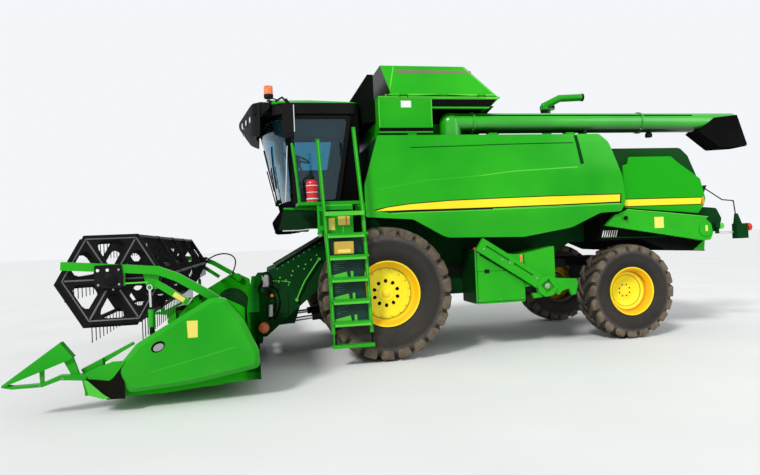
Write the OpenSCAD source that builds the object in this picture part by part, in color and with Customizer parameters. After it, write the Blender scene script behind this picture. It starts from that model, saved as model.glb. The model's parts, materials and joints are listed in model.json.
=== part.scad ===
// Combine harvester with its grain header on. X points forward, Y to the left, Z up.
// Stations along X are measured from the front axle, then the whole machine is centred.

/* [Wheels and axles] */
// Distance between the front and the rear axle
wheelbase = 3670; // [3500:10:3800]
// Radius of a front tyre
front_tyre_r = 880; // [840:5:900]
// Width of a front tyre
front_tyre_w = 650; // [600:5:680]
// Distance between the middles of the front tyres
front_track = 2430; // [2400:10:2500]
// Radius of a front rim's lip
front_rim_r = 430; // [400:5:450]
// Radius of a rear tyre
rear_tyre_r = 688; // [650:2:700]
// Width of a rear tyre
rear_tyre_w = 430; // [400:5:460]
// Distance between the middles of the rear tyres
rear_track = 2180; // [2140:10:2220]
// Radius of a rear rim's lip
rear_rim_r = 350; // [330:5:370]
// Distance between the two steering pivots
kingpin_track = 1560; // [1520:10:1580]
// Radius of a steering pivot pin
kingpin_r = 32; // [25:1:40]
// Thickness of a wheel disc
disc_t = 22; // [15:1:30]

/* [Body] */
// Width of the lower body between the front wheels
core_w = 1480; // [1400:10:1520]
// Height of the upper body's underside
shoulder_z = 1950; // [1930:5:2000]
// Height of the upper body's top
deck_z = 2930; // [2900:5:2940]
// Height of the lower body's underside
belly_z = 760; // [700:10:800]
// Station of the body's front wall
body_front = 300; // [290:5:310]
// Length of the upper body
body_length = 3550; // [3500:10:3600]
// Width over the side panels
panels_w = 2840; // [2800:10:2880]
// Thickness of a side panel
panel_t = 35; // [25:1:45]
// Lean of a side panel's upper part towards the machine
panel_lean = 70; // [40:5:80]
// Radius of a side panel's hinge pin
hinge_pin_r = 6; // [5:0.5:7]

/* [Grain tank] */
// Height of the tank's lip
tank_lip_z = 3490; // [3450:5:3500]
// Length of the tank at its lip
tank_length = 1730; // [1700:10:1760]
// Thickness of the tank's walls
tank_wall = 16; // [10:1:25]
// Height of the closed lids
lid_z = 4000; // [3900:10:4020]
// Width of the flat top of the closed lids
lid_top_w = 2000; // [1900:10:2100]
// Thickness of the lids
lid_t = 20; // [12:1:30]

/* [Unloading auger] */
// Radius of the auger tube
auger_r = 142; // [130:2:146]
// Height of the auger tube's axis
auger_z = 3160; // [3140:5:3170]
// Distance of the auger's turning axis from the machine's middle
auger_y = 1150; // [1130:5:1155]
// Station of the auger's turning axis
auger_x = -1050; // [-1060:5:-1030]
// Length of the auger tube from its turning axis
auger_length = 4500; // [4400:10:4560]

/* [Cab] */
// Width of the cab
cab_w = 1960; // [1900:10:2000]
// Height of the cab's floor
cab_floor_z = 2080; // [2060:5:2100]
// Height of the underside of the cab's roof
cab_top_z = 3330; // [3300:5:3350]
// Station of the cab's rear wall
cab_rear = 210; // [200:5:220]
// Station of the windscreen's middle at the floor
screen_low_x = 1290; // [1260:10:1320]
// Station of the windscreen's middle at the roof
screen_high_x = 1570; // [1540:10:1600]
// Thickness of the cab's walls
cab_wall = 45; // [35:1:60]
// Thickness of the window glass
glass_t = 8; // [6:1:12]
// Height of the beacon's top
beacon_top_z = 3730; // [3700:5:3760]

/* [Ladder and platform] */
// Distance of the ladder's middle plane from the machine's middle
ladder_y = 1600; // [1585:5:1630]
// Width across the ladder's stringers, front to back
ladder_w = 520; // [480:10:540]
// Number of steps on the rigid ladder
step_count = 5; // [4:1:6]
// Height of the platform's deck
platform_z = 2100; // [2090:5:2110]

/* [Feeder house] */
// Width of the feeder house
feeder_w = 1340; // [1300:10:1360]
// Thickness of the feeder house's walls
feeder_wall = 16; // [10:1:20]
// Station of the feeder house's pivot
feeder_pivot_x = 500; // [490:2:510]
// Height of the feeder house's pivot
feeder_pivot_z = 1600; // [1590:2:1610]
// Radius of the feeder house's pivot pins
feeder_pin_r = 45; // [35:1:55]
// Radius of a lift cylinder's barrel
lift_barrel_r = 52; // [45:1:58]
// Radius of a lift cylinder's rod
lift_rod_r = 30; // [24:1:36]

/* [Header] */
// Width of the header between its end walls
header_w = 5560; // [5400:20:5700]
// Thickness of the header's sheet metal
header_sheet = 10; // [8:1:14]
// Thickness of a header end wall
end_wall_t = 20; // [14:1:26]
// Thickness of an end shield
shield_t = 140; // [110:5:170]
// Station of the cutter bar's front edge
cutter_x = 3230; // [3200:5:3250]
// Distance between neighbouring knife guards
guard_pitch = 150; // [100:10:300]
// Radius of the intake auger's tube
intake_tube_r = 200; // [180:5:220]
// Radius of the intake auger over its flights
intake_flight_r = 300; // [280:5:305]
// Pitch of the intake auger's flights
intake_pitch = 500; // [400:10:600]
// Station of the long divider's tip
divider_tip_x = 4050; // [3950:10:4100]

/* [Reel] */
// Radius of the reel's tine bars' circle
reel_r = 490; // [470:5:500]
// Length of the reel over its end spiders
reel_length = 5320; // [5200:20:5400]
// Station of the reel's shaft
reel_x = 3090; // [3070:5:3110]
// Height of the reel's shaft
reel_z = 1300; // [1290:5:1310]
// Radius of the reel's centre tube
reel_tube_r = 75; // [60:5:90]
// Radius of the reel's shaft ends
reel_shaft_r = 25; // [20:1:30]
// Number of tine bars
bar_count = 6; // [5:1:8]
// Number of spiders along the reel
spider_count = 5; // [3:1:7]
// Length of a tine
tine_length = 220; // [180:5:230]
// Distance between neighbouring tines
tine_pitch = 160; // [140:10:400]
// Radius of a tine
tine_r = 5; // [4:1:8]
// Distance of a reel arm's middle from the header's end wall
arm_inset = 60; // [55:1:65]
// Width of a reel arm
arm_w = 60; // [50:2:64]

/* [Rear end] */
// Station of the rear lamps' rear face
tail_x = -6010; // [-6040:10:-5980]
// Radius of the towing pin's hole
hitch_hole_r = 16; // [12:1:20]

/* [Hidden] */

green = [0.06, 0.50, 0.10];
dark_green = [0.03, 0.22, 0.08];
yellow = [0.98, 0.80, 0.08];
black = [0.06, 0.06, 0.06];
rubber = [0.10, 0.10, 0.10];
steel = [0.62, 0.63, 0.65];
clear_blue = [0.45, 0.65, 0.75, 0.4];
red = [0.75, 0.05, 0.08];
amber = [0.95, 0.45, 0.05];

// Clearances
seat = 0.3;       // between pieces that sit on each other
pin_play = 0.05;  // round a pin in its bore
run_gap = 6;      // between pieces that move past each other
eye_gap = 10;     // round the pin in an opened cylinder eye
panel_room = 65;  // from the upper body's side to a side panel's leaning top
hood_step = 165;  // from a side panel's face in to the hood's face
cover_step = 70;  // from a side panel's face in to the faces of the low covers

// The machine's middle between its foremost and rearmost points
middle_x = (divider_tip_x + tail_x) / 2;
module in_frame() translate([-middle_x, 0, 0]) children();

// An outline in X and Z drawn across the machine from y0 to y1
module across(y0, y1) translate([0, y1, 0]) rotate([90, 0, 0]) linear_extrude(y1 - y0) children();
// An outline in Y and Z drawn along the machine from x0 to x1
module along(x0, x1) translate([x0, 0, 0]) rotate([90, 0, 90]) linear_extrude(x1 - x0) children();
// An outline in X and Y drawn upwards from z0 to z1
module up(z0, z1) translate([0, 0, z0]) linear_extrude(z1 - z0) children();
// A box given by its range on each axis
module block(x, y, z) translate([x[0], y[0], z[0]]) cube([x[1] - x[0], y[1] - y[0], z[1] - z[0]]);
// A piece and its mirror image on the other side
module both_sides() {
  children();
  mirror([0, 1, 0]) children();
}
// A round bar from p to q
module rod(p, q, r) {
  v = q - p;
  translate(p) rotate([0, acos(v[2] / norm(v)), atan2(v[1], v[0])]) cylinder(h = norm(v), r = r, $fn = 32);
}
// A bent round rail through a list of points
module rail(points, r) {
  for (i = [1:len(points) - 1]) rod(points[i - 1], points[i], r);
  for (i = [1:len(points) - 2]) translate(points[i]) sphere(r = r * 1.02, $fn = 32);
}
// A cylinder along Y from y0 to y1 round the point [x, z]
module axle_pin(at, y0, y1, r) translate([at[0], y0, at[1]]) rotate([-90, 0, 0]) cylinder(h = y1 - y0, r = r, $fn = 64);

function unit(v) = v / norm(v);
// Points of a corner at b, between a and c, rounded to radius r
function corner(a, b, c, r, n) =
  let (u = unit(a - b), v = unit(c - b), half = acos(u * v) / 2, d = r / tan(half),
       m = b + unit(u + v) * r / sin(half), s = b + u * d - m, e = b + v * d - m,
       a0 = atan2(s[1], s[0]), a1 = atan2(e[1], e[0]), sweep = ((a1 - a0 + 540) % 360) - 180)
  [for (i = [0:n]) m + r * [cos(a0 + sweep * i / n), sin(a0 + sweep * i / n)]];
// An outline from rows of [x, z, corner radius]
function rounded(rows, n = 4) = [for (i = [0:len(rows) - 1])
  let (a = rows[(i + len(rows) - 1) % len(rows)], b = rows[i], c = rows[(i + 1) % len(rows)])
  each b[2] > 0 ? corner([a[0], a[1]], [b[0], b[1]], [c[0], c[1]], b[2], n) : [[b[0], b[1]]]];
function side_normal(a, b) = let (u = unit(b - a)) [-u[1], u[0]];
// A path moved sideways by h
function beside(path, h) = [for (i = [0:len(path) - 1])
  let (last = len(path) - 1,
       n1 = side_normal(path[max(i - 1, 0)], path[max(i, 1)]),
       n2 = side_normal(path[min(i, last - 1)], path[min(i + 1, last)]),
       m = unit(n1 + n2))
  path[i] + m * h / (m * n1)];
function reversed(list) = [for (i = [len(list) - 1:-1:0]) list[i]];
// The outline of a strip of width w along a path
function strip(path, w) = concat(beside(path, w / 2), reversed(beside(path, -w / 2)));
// Points on an arc round m
function arc(m, r, from, to, n) = [for (i = [0:n]) m + r * [cos(from + (to - from) * i / n), sin(from + (to - from) * i / n)]];

// Wheels. Each is drawn round the Z axis, its outer side up, with its middle at zero.
rim_t = 18;
rim_lip = 26;
hub_wall = 22;
front_rim_w = front_tyre_w - 90;
rear_rim_w = rear_tyre_w - 50;
front_disc_z = front_tyre_w / 2 - 190;
rear_disc_z = rear_tyre_w / 2 - 225;
front_spindle_r = 85;
rear_spindle_r = 50;
tyre_sides = 20;
lug_count = 16;
lug_h = 42;
lug_reach = 0.19;
shoulder_w = 60;
bead_gap = 10;

// A plate with as many sides as a tyre's carcass, its flats at radius r
module ring_plate(r, z0, z1) translate([0, 0, z0]) linear_extrude(z1 - z0)
  polygon([for (i = [0:tyre_sides - 1]) r / cos(180 / tyre_sides) * [cos(360 * i / tyre_sides), sin(360 * i / tyre_sides)]]);
// A tyre: a carcass dished in towards its rim, with a row of slanting lugs on each shoulder
module tyre(r, w, rim_r, rim_w) {
  bead_w = rim_w / 2 - rim_t - bead_gap;
  bore_r = rim_r - rim_lip + seat;
  wall_r = (rim_r + r) / 2;
  lug_half = w * lug_reach;
  difference() {
    union() {
      hull() {
        ring_plate(r - lug_h, shoulder_w - w / 2, w / 2 - shoulder_w);
        ring_plate(wall_r, -w / 2, w / 2);
      }
      for (i = [0:lug_count - 1], side = [0, 1])
        rotate(360 * (i + side / 2) / lug_count + asin(lug_half / r)) mirror([0, 0, side]) lug(r, w, lug_half);
    }
    ring_plate(bore_r, -w, w);
    for (side = [0, 1]) mirror([0, 0, side]) hull() {
      ring_plate(bore_r - 5, bead_w, bead_w + 1);
      ring_plate(wall_r - 12, w / 2, w / 2 + 1);
    }
  }
}
// One slanting lug: narrow just past the middle, wide at the shoulder
module lug(r, w, half) {
  base = r - lug_h - 2 * shoulder_w * w / front_tyre_w;
  translate([base, 0, 0]) rotate([0, 90, 0]) linear_extrude(sqrt(r * r - half * half) - base)
    polygon([[w * 0.04, half - 45], [w * 0.04, half], [4 - w / 2, half - w * 0.06], [4 - w / 2, -half]]);
}
// A rim: lip, flared flange with a ring seat, well, and a disc dished in to its flat middle
module rim(r, w, ring_r, disc_z, flat_r, bore_r, hub_low, holes, circle_r, hole_r) {
  well_r = r - rim_lip;
  dish_z = w / 2 - 130;
  difference() {
    union() {
      rotate_extrude($fn = 96) polygon([
        [well_r - rim_t, -w / 2], [r, -w / 2], [r, rim_t - w / 2], [well_r, rim_t - w / 2],
        [well_r, w / 2 - rim_t], [r, w / 2 - rim_t], [r, w / 2], [r - 12, w / 2], [ring_r + 22, w / 2 - 70],
        [ring_r + 14, w / 2 - 95], [well_r - rim_t, w / 2 - 80]]);
      rotate_extrude($fn = 96) polygon([[0, disc_z - disc_t], [flat_r, disc_z - disc_t],
        [ring_r, dish_z - disc_t], [well_r - 1, dish_z - disc_t], [well_r - 1, dish_z],
        [ring_r - 8, dish_z], [flat_r - 8, disc_z], [0, disc_z]]);
      translate([0, 0, hub_low]) cylinder(h = disc_z + 8 - hub_low, r = bore_r + hub_wall, $fn = 64);
    }
    translate([0, 0, hub_low - 1]) cylinder(h = disc_z - disc_t - hub_low, r = bore_r + pin_play, $fn = 64);
    for (i = [0:holes - 1]) rotate(360 * (i + 0.5) / holes)
      translate([circle_r, 0, disc_z - disc_t - 1]) cylinder(h = disc_t + 2, r = hole_r, $fn = 24);
  }
}
module at_wheel(x, track, r, side) translate([x, 0, r]) on_side(side)
  translate([0, track / 2, 0]) rotate([-90, 0, 0]) children();
module on_side(side) mirror([0, side < 0 ? 1 : 0, 0]) children();

spindle_inner_y = 800;
front_hub_low = spindle_inner_y + 60 + run_gap - front_track / 2;
front_spindle_end = front_track / 2 + front_disc_z - disc_t - 8;

module front_tyre(side) color(rubber) in_frame() at_wheel(0, front_track, front_tyre_r, side)
  tyre(front_tyre_r, front_tyre_w, front_rim_r, front_rim_w);
module front_rim(side) color(yellow) in_frame() at_wheel(0, front_track, front_tyre_r, side)
  rim(front_rim_r, front_rim_w, front_rim_r - 96, front_disc_z, 250, front_spindle_r, front_hub_low, 10, 155, 21);
module front_tyre_left() front_tyre(1);
module front_tyre_right() front_tyre(-1);
module front_rim_left() front_rim(1);
module front_rim_right() front_rim(-1);

knuckle_hub_y = kingpin_track / 2 + 95;
rear_hub_low = knuckle_hub_y + run_gap - rear_track / 2;
rear_spindle_end = rear_track / 2 + rear_disc_z - disc_t - 8;
module rear_tyre(side) color(rubber) in_frame() at_wheel(-wheelbase, rear_track, rear_tyre_r, side)
  tyre(rear_tyre_r, rear_tyre_w, rear_rim_r, rear_rim_w);
module rear_rim(side) color(yellow) in_frame() at_wheel(-wheelbase, rear_track, rear_tyre_r, side)
  rim(rear_rim_r, rear_rim_w, rear_rim_r - 72, rear_disc_z, 160, rear_spindle_r, rear_hub_low, 8, 88, 11);
module rear_tyre_left() rear_tyre(1);
module rear_tyre_right() rear_tyre(-1);
module rear_rim_left() rear_rim(1);
module rear_rim_right() rear_rim(-1);

// Front axle: a box beam, a final drive at each end and the spindles that carry the wheels
beam_half = 170;
axle_top = front_tyre_r + 180;
final_drive_r = 176;
barrel_pin = [250, 580];
barrel_pin_r = 25;
lift_y = 430;
module front_axle() color(dark_green) in_frame() {
  block([-beam_half, beam_half], [-rail_y - rail_w, rail_y + rail_w], [front_tyre_r - 170, axle_top]);
  both_sides() {
    axle_pin([0, front_tyre_r], 690, spindle_inner_y, final_drive_r);
    axle_pin([0, front_tyre_r], spindle_inner_y, spindle_inner_y + 60, final_drive_r - 12);
    axle_pin([0, front_tyre_r], spindle_inner_y + 59, front_spindle_end, front_spindle_r);
    for (dy = [-80, 60]) across(lift_y + dy, lift_y + dy + 20)
      polygon(rounded([[beam_half - 1, 800, 0], [beam_half - 1, 510, 0],
        [barrel_pin[0] + 55, 510, 40], [barrel_pin[0] + 55, 650, 40]]));
    axle_pin(barrel_pin, lift_y - 80, lift_y + 80, barrel_pin_r);
  }
}

// Main frame: two rails over the front axle, narrowed over the rear axle, with cross members
rail_y = core_w / 2 + seat;
rail_w = 80;
rail_h = 120;
rail_z = axle_top + seat;
tail_rail_y = 320;
rear_axle_z = rear_tyre_r;
pivot_pin_r = 40;
clevis_x = -wheelbase - 390;
module main_frame() color(black) in_frame() {
  for (z = [rail_z + 15, rail_z + 85]) difference() {
    block([clevis_x - 60, -wheelbase - 299], [-60, 60], [z, z + 20]);
    translate([clevis_x, 0, z - 1]) cylinder(h = 22, r = hitch_hole_r, $fn = 48);
  }
  both_sides() {
    block([-2870, 200], [rail_y, rail_y + rail_w], [rail_z, rail_z + rail_h]);
    block([-wheelbase - 300, -2760], [tail_rail_y, tail_rail_y + rail_w], [rail_z, rail_z + rail_h]);
  }
  block([-2870, -2760], [-rail_y - 1, rail_y + 1], [rail_z, rail_z + rail_h]);
  block([-wheelbase - 300, -wheelbase - 200], [-tail_rail_y - 1, tail_rail_y + 1], [rail_z, rail_z + rail_h]);
  for (x = [-wheelbase - 110, -wheelbase + 85])
    block([x, x + 25], [-tail_rail_y - 1, tail_rail_y + 1], [rear_axle_z, rail_z + rail_h]);
  translate([-wheelbase - 110, 0, rear_axle_z + 90]) rotate([0, 90, 0]) cylinder(h = 220, r = pivot_pin_r, $fn = 64);
}

// Rear axle: a beam that rocks on the frame's pin, with a fork at each end for the knuckle
fork_gap = 110;
fork_t = 35;
module rear_axle() color(dark_green) in_frame() translate([-wheelbase, 0, 0]) difference() {
  union() {
    block([-75, 75], [-600, 600], [rear_axle_z - 85, rear_axle_z + 75]);
    translate([-80, 0, rear_axle_z + 90]) rotate([0, 90, 0]) cylinder(h = 160, r = 85, $fn = 64);
    both_sides() for (z = [-fork_gap / 2 - fork_t, fork_gap / 2])
      fork_ear(z);
    both_sides() block([-60, 60], [580, 640], [rear_axle_z - fork_gap / 2 - fork_t, rear_axle_z + fork_gap / 2 + fork_t]);
  }
  translate([-81, 0, rear_axle_z + 90]) rotate([0, 90, 0]) cylinder(h = 162, r = pivot_pin_r + pin_play, $fn = 64);
  both_sides() translate([0, kingpin_track / 2, 0]) cylinder(h = 2000, r = kingpin_r + pin_play, $fn = 48);
}
// One ear of the fork that holds a steering pivot
module fork_ear(z) up(rear_axle_z + z, rear_axle_z + z + fork_t) union() {
  translate([-60, 580]) square([120, kingpin_track / 2 - 580]);
  translate([0, kingpin_track / 2]) circle(r = 60, $fn = 48);
}
module steering_knuckle(side) color(steel) in_frame() translate([-wheelbase, 0, rear_axle_z]) on_side(side) {
  translate([0, kingpin_track / 2, -fork_gap / 2 - fork_t]) cylinder(h = fork_gap + 2 * fork_t, r = kingpin_r, $fn = 48);
  translate([0, kingpin_track / 2, seat - fork_gap / 2]) cylinder(h = fork_gap - 2 * seat, r = 52, $fn = 48);
  axle_pin([0, 0], knuckle_hub_y - 20, knuckle_hub_y, 105);
  axle_pin([0, 0], kingpin_track / 2 + 20, rear_spindle_end, rear_spindle_r);
}
module steering_knuckle_left() steering_knuckle(1);
module steering_knuckle_right() steering_knuckle(-1);

// Separator body: the narrow lower body between the wheels and the wide upper one under the panels
body_rear = body_front - body_length;
core_y = core_w / 2;
shoulder_y = panels_w / 2 - panel_lean - panel_t - panel_room;
shoulder_front = 40;
hopper_z = 2150;
hopper_top_y = 1000;
engine_bay = [-3120, -1820];
core_outline = [[body_front, shoulder_z + 1, 0], [body_front, 1200, 0], [230, axle_top + 30, 0],
  [-260, axle_top + 30, 0], [-430, belly_z, 60], [-2350, belly_z, 60], [-2660, 1220, 60],
  [-3000, 1430, 60], [body_rear, 1430, 0], [body_rear, shoulder_z + 1, 0]];
module separator_body() color(dark_green) in_frame() difference() {
  union() {
    across(-core_y, core_y) polygon(rounded(core_outline));
    block([body_rear, shoulder_front], [-shoulder_y, shoulder_y], [shoulder_z, deck_z]);
    both_sides() feeder_bracket();
    both_sides() for (x = panel_hinges) hinge_bracket(x);
    difference() {
      block([-3080, -3040], [auger_y - 90, auger_y + 90], [deck_z - 1, auger_z - auger_r + 30]);
      translate([-3100, auger_y, auger_z]) rotate([0, 90, 0]) cylinder(h = 100, r = auger_r + run_gap, $fn = 64);
    }
  }
  block([-1620, -80], [-hopper_top_y - 40, hopper_top_y + 40], [hopper_z, deck_z + 1]);
  block(engine_bay, [-900, 900], [2250, deck_z + 1]);
}
// Bracket with the pin that carries one side of the feeder house
bracket_t = 40;
module feeder_bracket() {
  y0 = feeder_w / 2 + run_gap;
  across(y0, y0 + bracket_t) polygon(rounded([[body_front - 60, feeder_pivot_z + 260, 0],
    [body_front - 60, feeder_pivot_z - 260, 0], [feeder_pivot_x + 90, feeder_pivot_z - 90, 80],
    [feeder_pivot_x + 90, feeder_pivot_z + 90, 80]]));
  axle_pin([feeder_pivot_x, feeder_pivot_z], feeder_w / 2 - feeder_wall - 30, y0 + 1, feeder_pin_r);
}

// Side panels: a pressed panel that swings up on three hinges along its top edge
panel_y = panels_w / 2;
panel_top_z = deck_z + 40;
panel_front = 30;
panel_rear = -3540;
panel_hinges = [-450, -1600, -2750];
hinge_w = 120;
hinge_y = panel_y - panel_lean - 5;
hinge_z = panel_top_z + 13;
knuckle_r = hinge_pin_r + 4;
panel_outline = [[panel_front, panel_top_z, 20], [240, 2310, 300], [240, 1890, 30], [-400, 1840, 200],
  [-860, 1580, 300], [-1980, 1545, 500], [-2700, 1650, 400], [-3130, 1840, 200], [-3460, 1850, 60],
  [panel_rear, 2000, 200], [-3500, 2350, 300], [-3330, 2850, 200], [-3200, panel_top_z, 60]];
// Line of a panel's outer face, from its tucked lower edge over its crease to its top edge
panel_foot = [panel_y - 60, 1500];
panel_line = [panel_foot, [panel_y, 1850], [panel_y, 2420], [panel_y - panel_lean + 25, 2860],
  [panel_y - panel_lean, panel_top_z + 1]];
panel_face = concat([panel_line[0]], corner(panel_line[0], panel_line[1], panel_line[2], 600, 3),
  corner(panel_line[1], panel_line[2], panel_line[3], 1500, 3), [panel_line[3], panel_line[4]]);
module side_panel() {
  intersection() {
    across(0, panel_y + 10) polygon(rounded(panel_outline));
    along(panel_rear - 10, 300) polygon(concat(panel_face, reversed(beside(panel_face, panel_t))));
  }
  for (x = panel_hinges) difference() {
    union() {
      translate([x - hinge_w / 2, hinge_y, hinge_z]) rotate([0, 90, 0]) cylinder(h = hinge_w, r = knuckle_r, $fn = 48);
      block([x - hinge_w / 2, x + hinge_w / 2], [hinge_y - 15, hinge_y + 4], [panel_top_z - 8, hinge_z - 2]);
    }
    translate([x - hinge_w / 2 - 1, hinge_y, hinge_z]) rotate([0, 90, 0])
      cylinder(h = hinge_w + 2, r = hinge_pin_r + pin_play, $fn = 48);
  }
}
// The body's side of a panel hinge: two ears and a pin
module hinge_bracket(x) {
  for (s = [-1, 1]) translate([x + s * (hinge_w / 2 + run_gap + 8), 0, 0])
    along(-8, 8) polygon([[shoulder_y - 50, deck_z - 1], [shoulder_y - 50, deck_z + 8], [hinge_y - 50, hinge_z + 6.5],
      [hinge_y + 7, hinge_z + 6.5], [hinge_y + 7, hinge_z - 6.5], [hinge_y - 32, hinge_z - 6.5], [shoulder_y - 1, deck_z - 1]]);
  translate([x - hinge_w / 2 - 20, hinge_y, hinge_z]) rotate([0, 90, 0])
    cylinder(h = hinge_w + 40, r = hinge_pin_r, $fn = 48);
}
module left_side_panel() color(green) in_frame() side_panel();
module right_side_panel() color(green) in_frame() mirror([0, 1, 0]) side_panel();

// Grain tank: an open box over a hopper let into the body
tank_y = panel_y - panel_lean;
tank_front = 0;
tank_rear = tank_front - tank_length;
tank_floor = deck_z + seat;
tank_low_y = shoulder_y - 60;
tank_low_z = panel_top_z + 30;
tank_notch_x = -740;
tank_notch_y = auger_y - auger_r - 60;
tank_notch_z = auger_z + auger_r + 25;
module tank_outer() {
  difference() {
    across(-tank_y, tank_y) polygon([[tank_front, tank_floor + 50], [tank_front, tank_lip_z],
      [tank_rear, tank_lip_z], [tank_rear + 180, tank_notch_z], [tank_rear + 180, tank_floor],
      [tank_front - 30, tank_floor]]);
    block([tank_rear - 1, tank_notch_x], [tank_notch_y, tank_y + 1], [tank_floor - 1, tank_notch_z]);
    both_sides() block([tank_rear - 1, tank_front + 1], [tank_low_y, tank_y + 1], [tank_floor - 1, tank_low_z]);
    both_sides() block([tank_notch_x - 1, tank_front + 1], [tank_y - 8, tank_y + 1], [tank_low_z + 20, tank_low_z + 70]);
  }
  both_sides() block([tank_rear + 15, tank_front], [tank_y - 1, tank_y + 6], [tank_lip_z - 26, tank_lip_z]);
  hopper(0, hopper_z + 40);
}
// Two ears and the pin of a lid hinge on the tank's lip
module lid_ears(x) {
  for (s = [-1, 1]) translate([x + s * (lid_knuckle_w / 2 + run_gap + 6), 0, 0]) along(-6, 6)
    polygon([[tank_y - 5, tank_lip_z - 40], [lid_axis[0] + 13, lid_axis[1] - 12], [lid_axis[0] + 13, lid_axis[1] + 13],
      [lid_axis[0] - 8, lid_axis[1] + 13], [lid_axis[0] - 8, tank_lip_z - 5], [tank_y - 5, tank_lip_z - 5]]);
  translate([x - lid_knuckle_w / 2 - 16, lid_axis[0], lid_axis[1]]) rotate([0, 90, 0])
    cylinder(h = lid_knuckle_w + 32, r = lid_pin_r, $fn = 32);
}
module hopper(wall, low) intersection() {
  across(-tank_y, tank_y) polygon([[-140 - wall, tank_floor + 60], [-500 - wall, low], [-1100 + wall, low],
    [-1520 + wall, tank_floor + 60]]);
  along(tank_rear, tank_front) polygon([[-hopper_top_y + wall, tank_floor + 60], [-350 + wall, low],
    [350 - wall, low], [hopper_top_y - wall, tank_floor + 60]]);
}
module grain_tank() color(green) in_frame() {
  tank_shell();
  both_sides() for (x = lid_hinges) lid_ears(x);
}
module tank_shell() difference() {
  tank_outer();
  difference() {
    across(-tank_y + tank_wall, tank_y - tank_wall) polygon([[tank_front - tank_wall, tank_floor + 55],
      [tank_front - tank_wall, tank_lip_z + 1], [tank_rear + tank_wall, tank_lip_z + 1],
      [tank_rear + 180 + tank_wall, tank_notch_z], [tank_rear + 180 + tank_wall, tank_floor + 20],
      [tank_front - 50, tank_floor + 20]]);
    block([tank_rear, tank_notch_x + tank_wall], [tank_notch_y - tank_wall, tank_y + 1],
      [tank_floor, tank_notch_z + tank_wall]);
    both_sides() block([tank_rear, tank_front + 1], [tank_low_y - tank_wall, tank_y + 1], [tank_floor, tank_low_z + tank_wall]);
  }
  hopper(tank_wall, hopper_z + 60);
}

// Lids: two bent covers that meet along the middle and fold out about the tank's lip
lid_low = tank_lip_z + run_gap;
lid_axis = [tank_y + 2, tank_lip_z + 22];
lid_pin_r = 7;
lid_knuckle_w = 80;
lid_hinges = [-350, -900, -1450];
lid_front_outline = [[-190, lid_low], [-120, lid_z], [-1340, lid_z], [-1690, lid_low]];
module lid_form(t) intersection() {
  across(-tank_y, tank_y) polygon([lid_front_outline[0] - [t, t], lid_front_outline[1] - [t, t],
    lid_front_outline[2] + [t, -t], lid_front_outline[3] + [t, -t]]);
  along(tank_rear, tank_front) polygon([[run_gap / 2, lid_low - t], [tank_y - 10 - t, lid_low - t],
    [lid_top_w / 2 - t, lid_z - t], [run_gap / 2, lid_z - t]]);
}
module lid() difference() {
  union() {
    difference() {
      lid_form(0);
      translate([0, -lid_t, 0]) lid_form(lid_t);
      block([tank_rear, tank_front], [-10, run_gap / 2], [lid_low - 50, lid_z + 1]);
    }
    for (x = lid_hinges) {
      translate([x - lid_knuckle_w / 2, lid_axis[0], lid_axis[1]]) rotate([0, 90, 0])
        cylinder(h = lid_knuckle_w, r = 13, $fn = 32);
      block([x - lid_knuckle_w / 2, x + lid_knuckle_w / 2], [tank_y - 30, lid_axis[0]], [lid_axis[1] - 6, lid_axis[1] + 6]);
    }
  }
  for (x = lid_hinges) translate([x - lid_knuckle_w / 2 - 1, lid_axis[0], lid_axis[1]]) rotate([0, 90, 0])
    cylinder(h = lid_knuckle_w + 2, r = lid_pin_r + pin_play, $fn = 32);
}
module tank_lid_left() color(green) in_frame() lid();
module tank_lid_right() color(green) in_frame() mirror([0, 1, 0]) lid();

module tank_screen() color(black) in_frame() difference() {
  across(-1150, 1150) polygon([[tank_front + seat, 3180], [150, 3180], [165, 3420], [95, 3830], [15, 3830],
    [15, tank_lip_z], [tank_front + seat, tank_lip_z]]);
  across(-1100, 1100) polygon([[tank_front - 1, tank_lip_z + 40], [60, tank_lip_z + 40], [40, 3780], [-1, 3780]]);
}

// Rear hood over the straw walkers, with a recessed field in each side
hood_outline = [[body_rear - seat, shoulder_z - 60, 0], [body_rear - seat, 2770, 0], [-4570, 2770, 120],
  [-4700, 2650, 60], [-4830, 2360, 200], [-4900, 2080, 60], [-4870, 1880, 0], [-4810, 1740, 0],
  [-3600, 1890, 0]];
hood_y = panel_y - hood_step;
hood_panel_t = 35;
hood_panel = [[-3600, 1900, 0], [-3600, 2520, 20], [-3680, 2540, 20], [-3700, 2640, 20], [-4390, 2640, 60],
  [-4500, 2550, 60], [-4868, 2300, 30], [-4945, 2010, 40], [-4915, 1905, 30], [-4812, 1790, 10]];
module rear_hood() color(green) in_frame() {
  across(-hood_y, hood_y) polygon(rounded(hood_outline));
  both_sides() across(hood_y - 1, hood_y + hood_panel_t) polygon(rounded(hood_panel));
}

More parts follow.
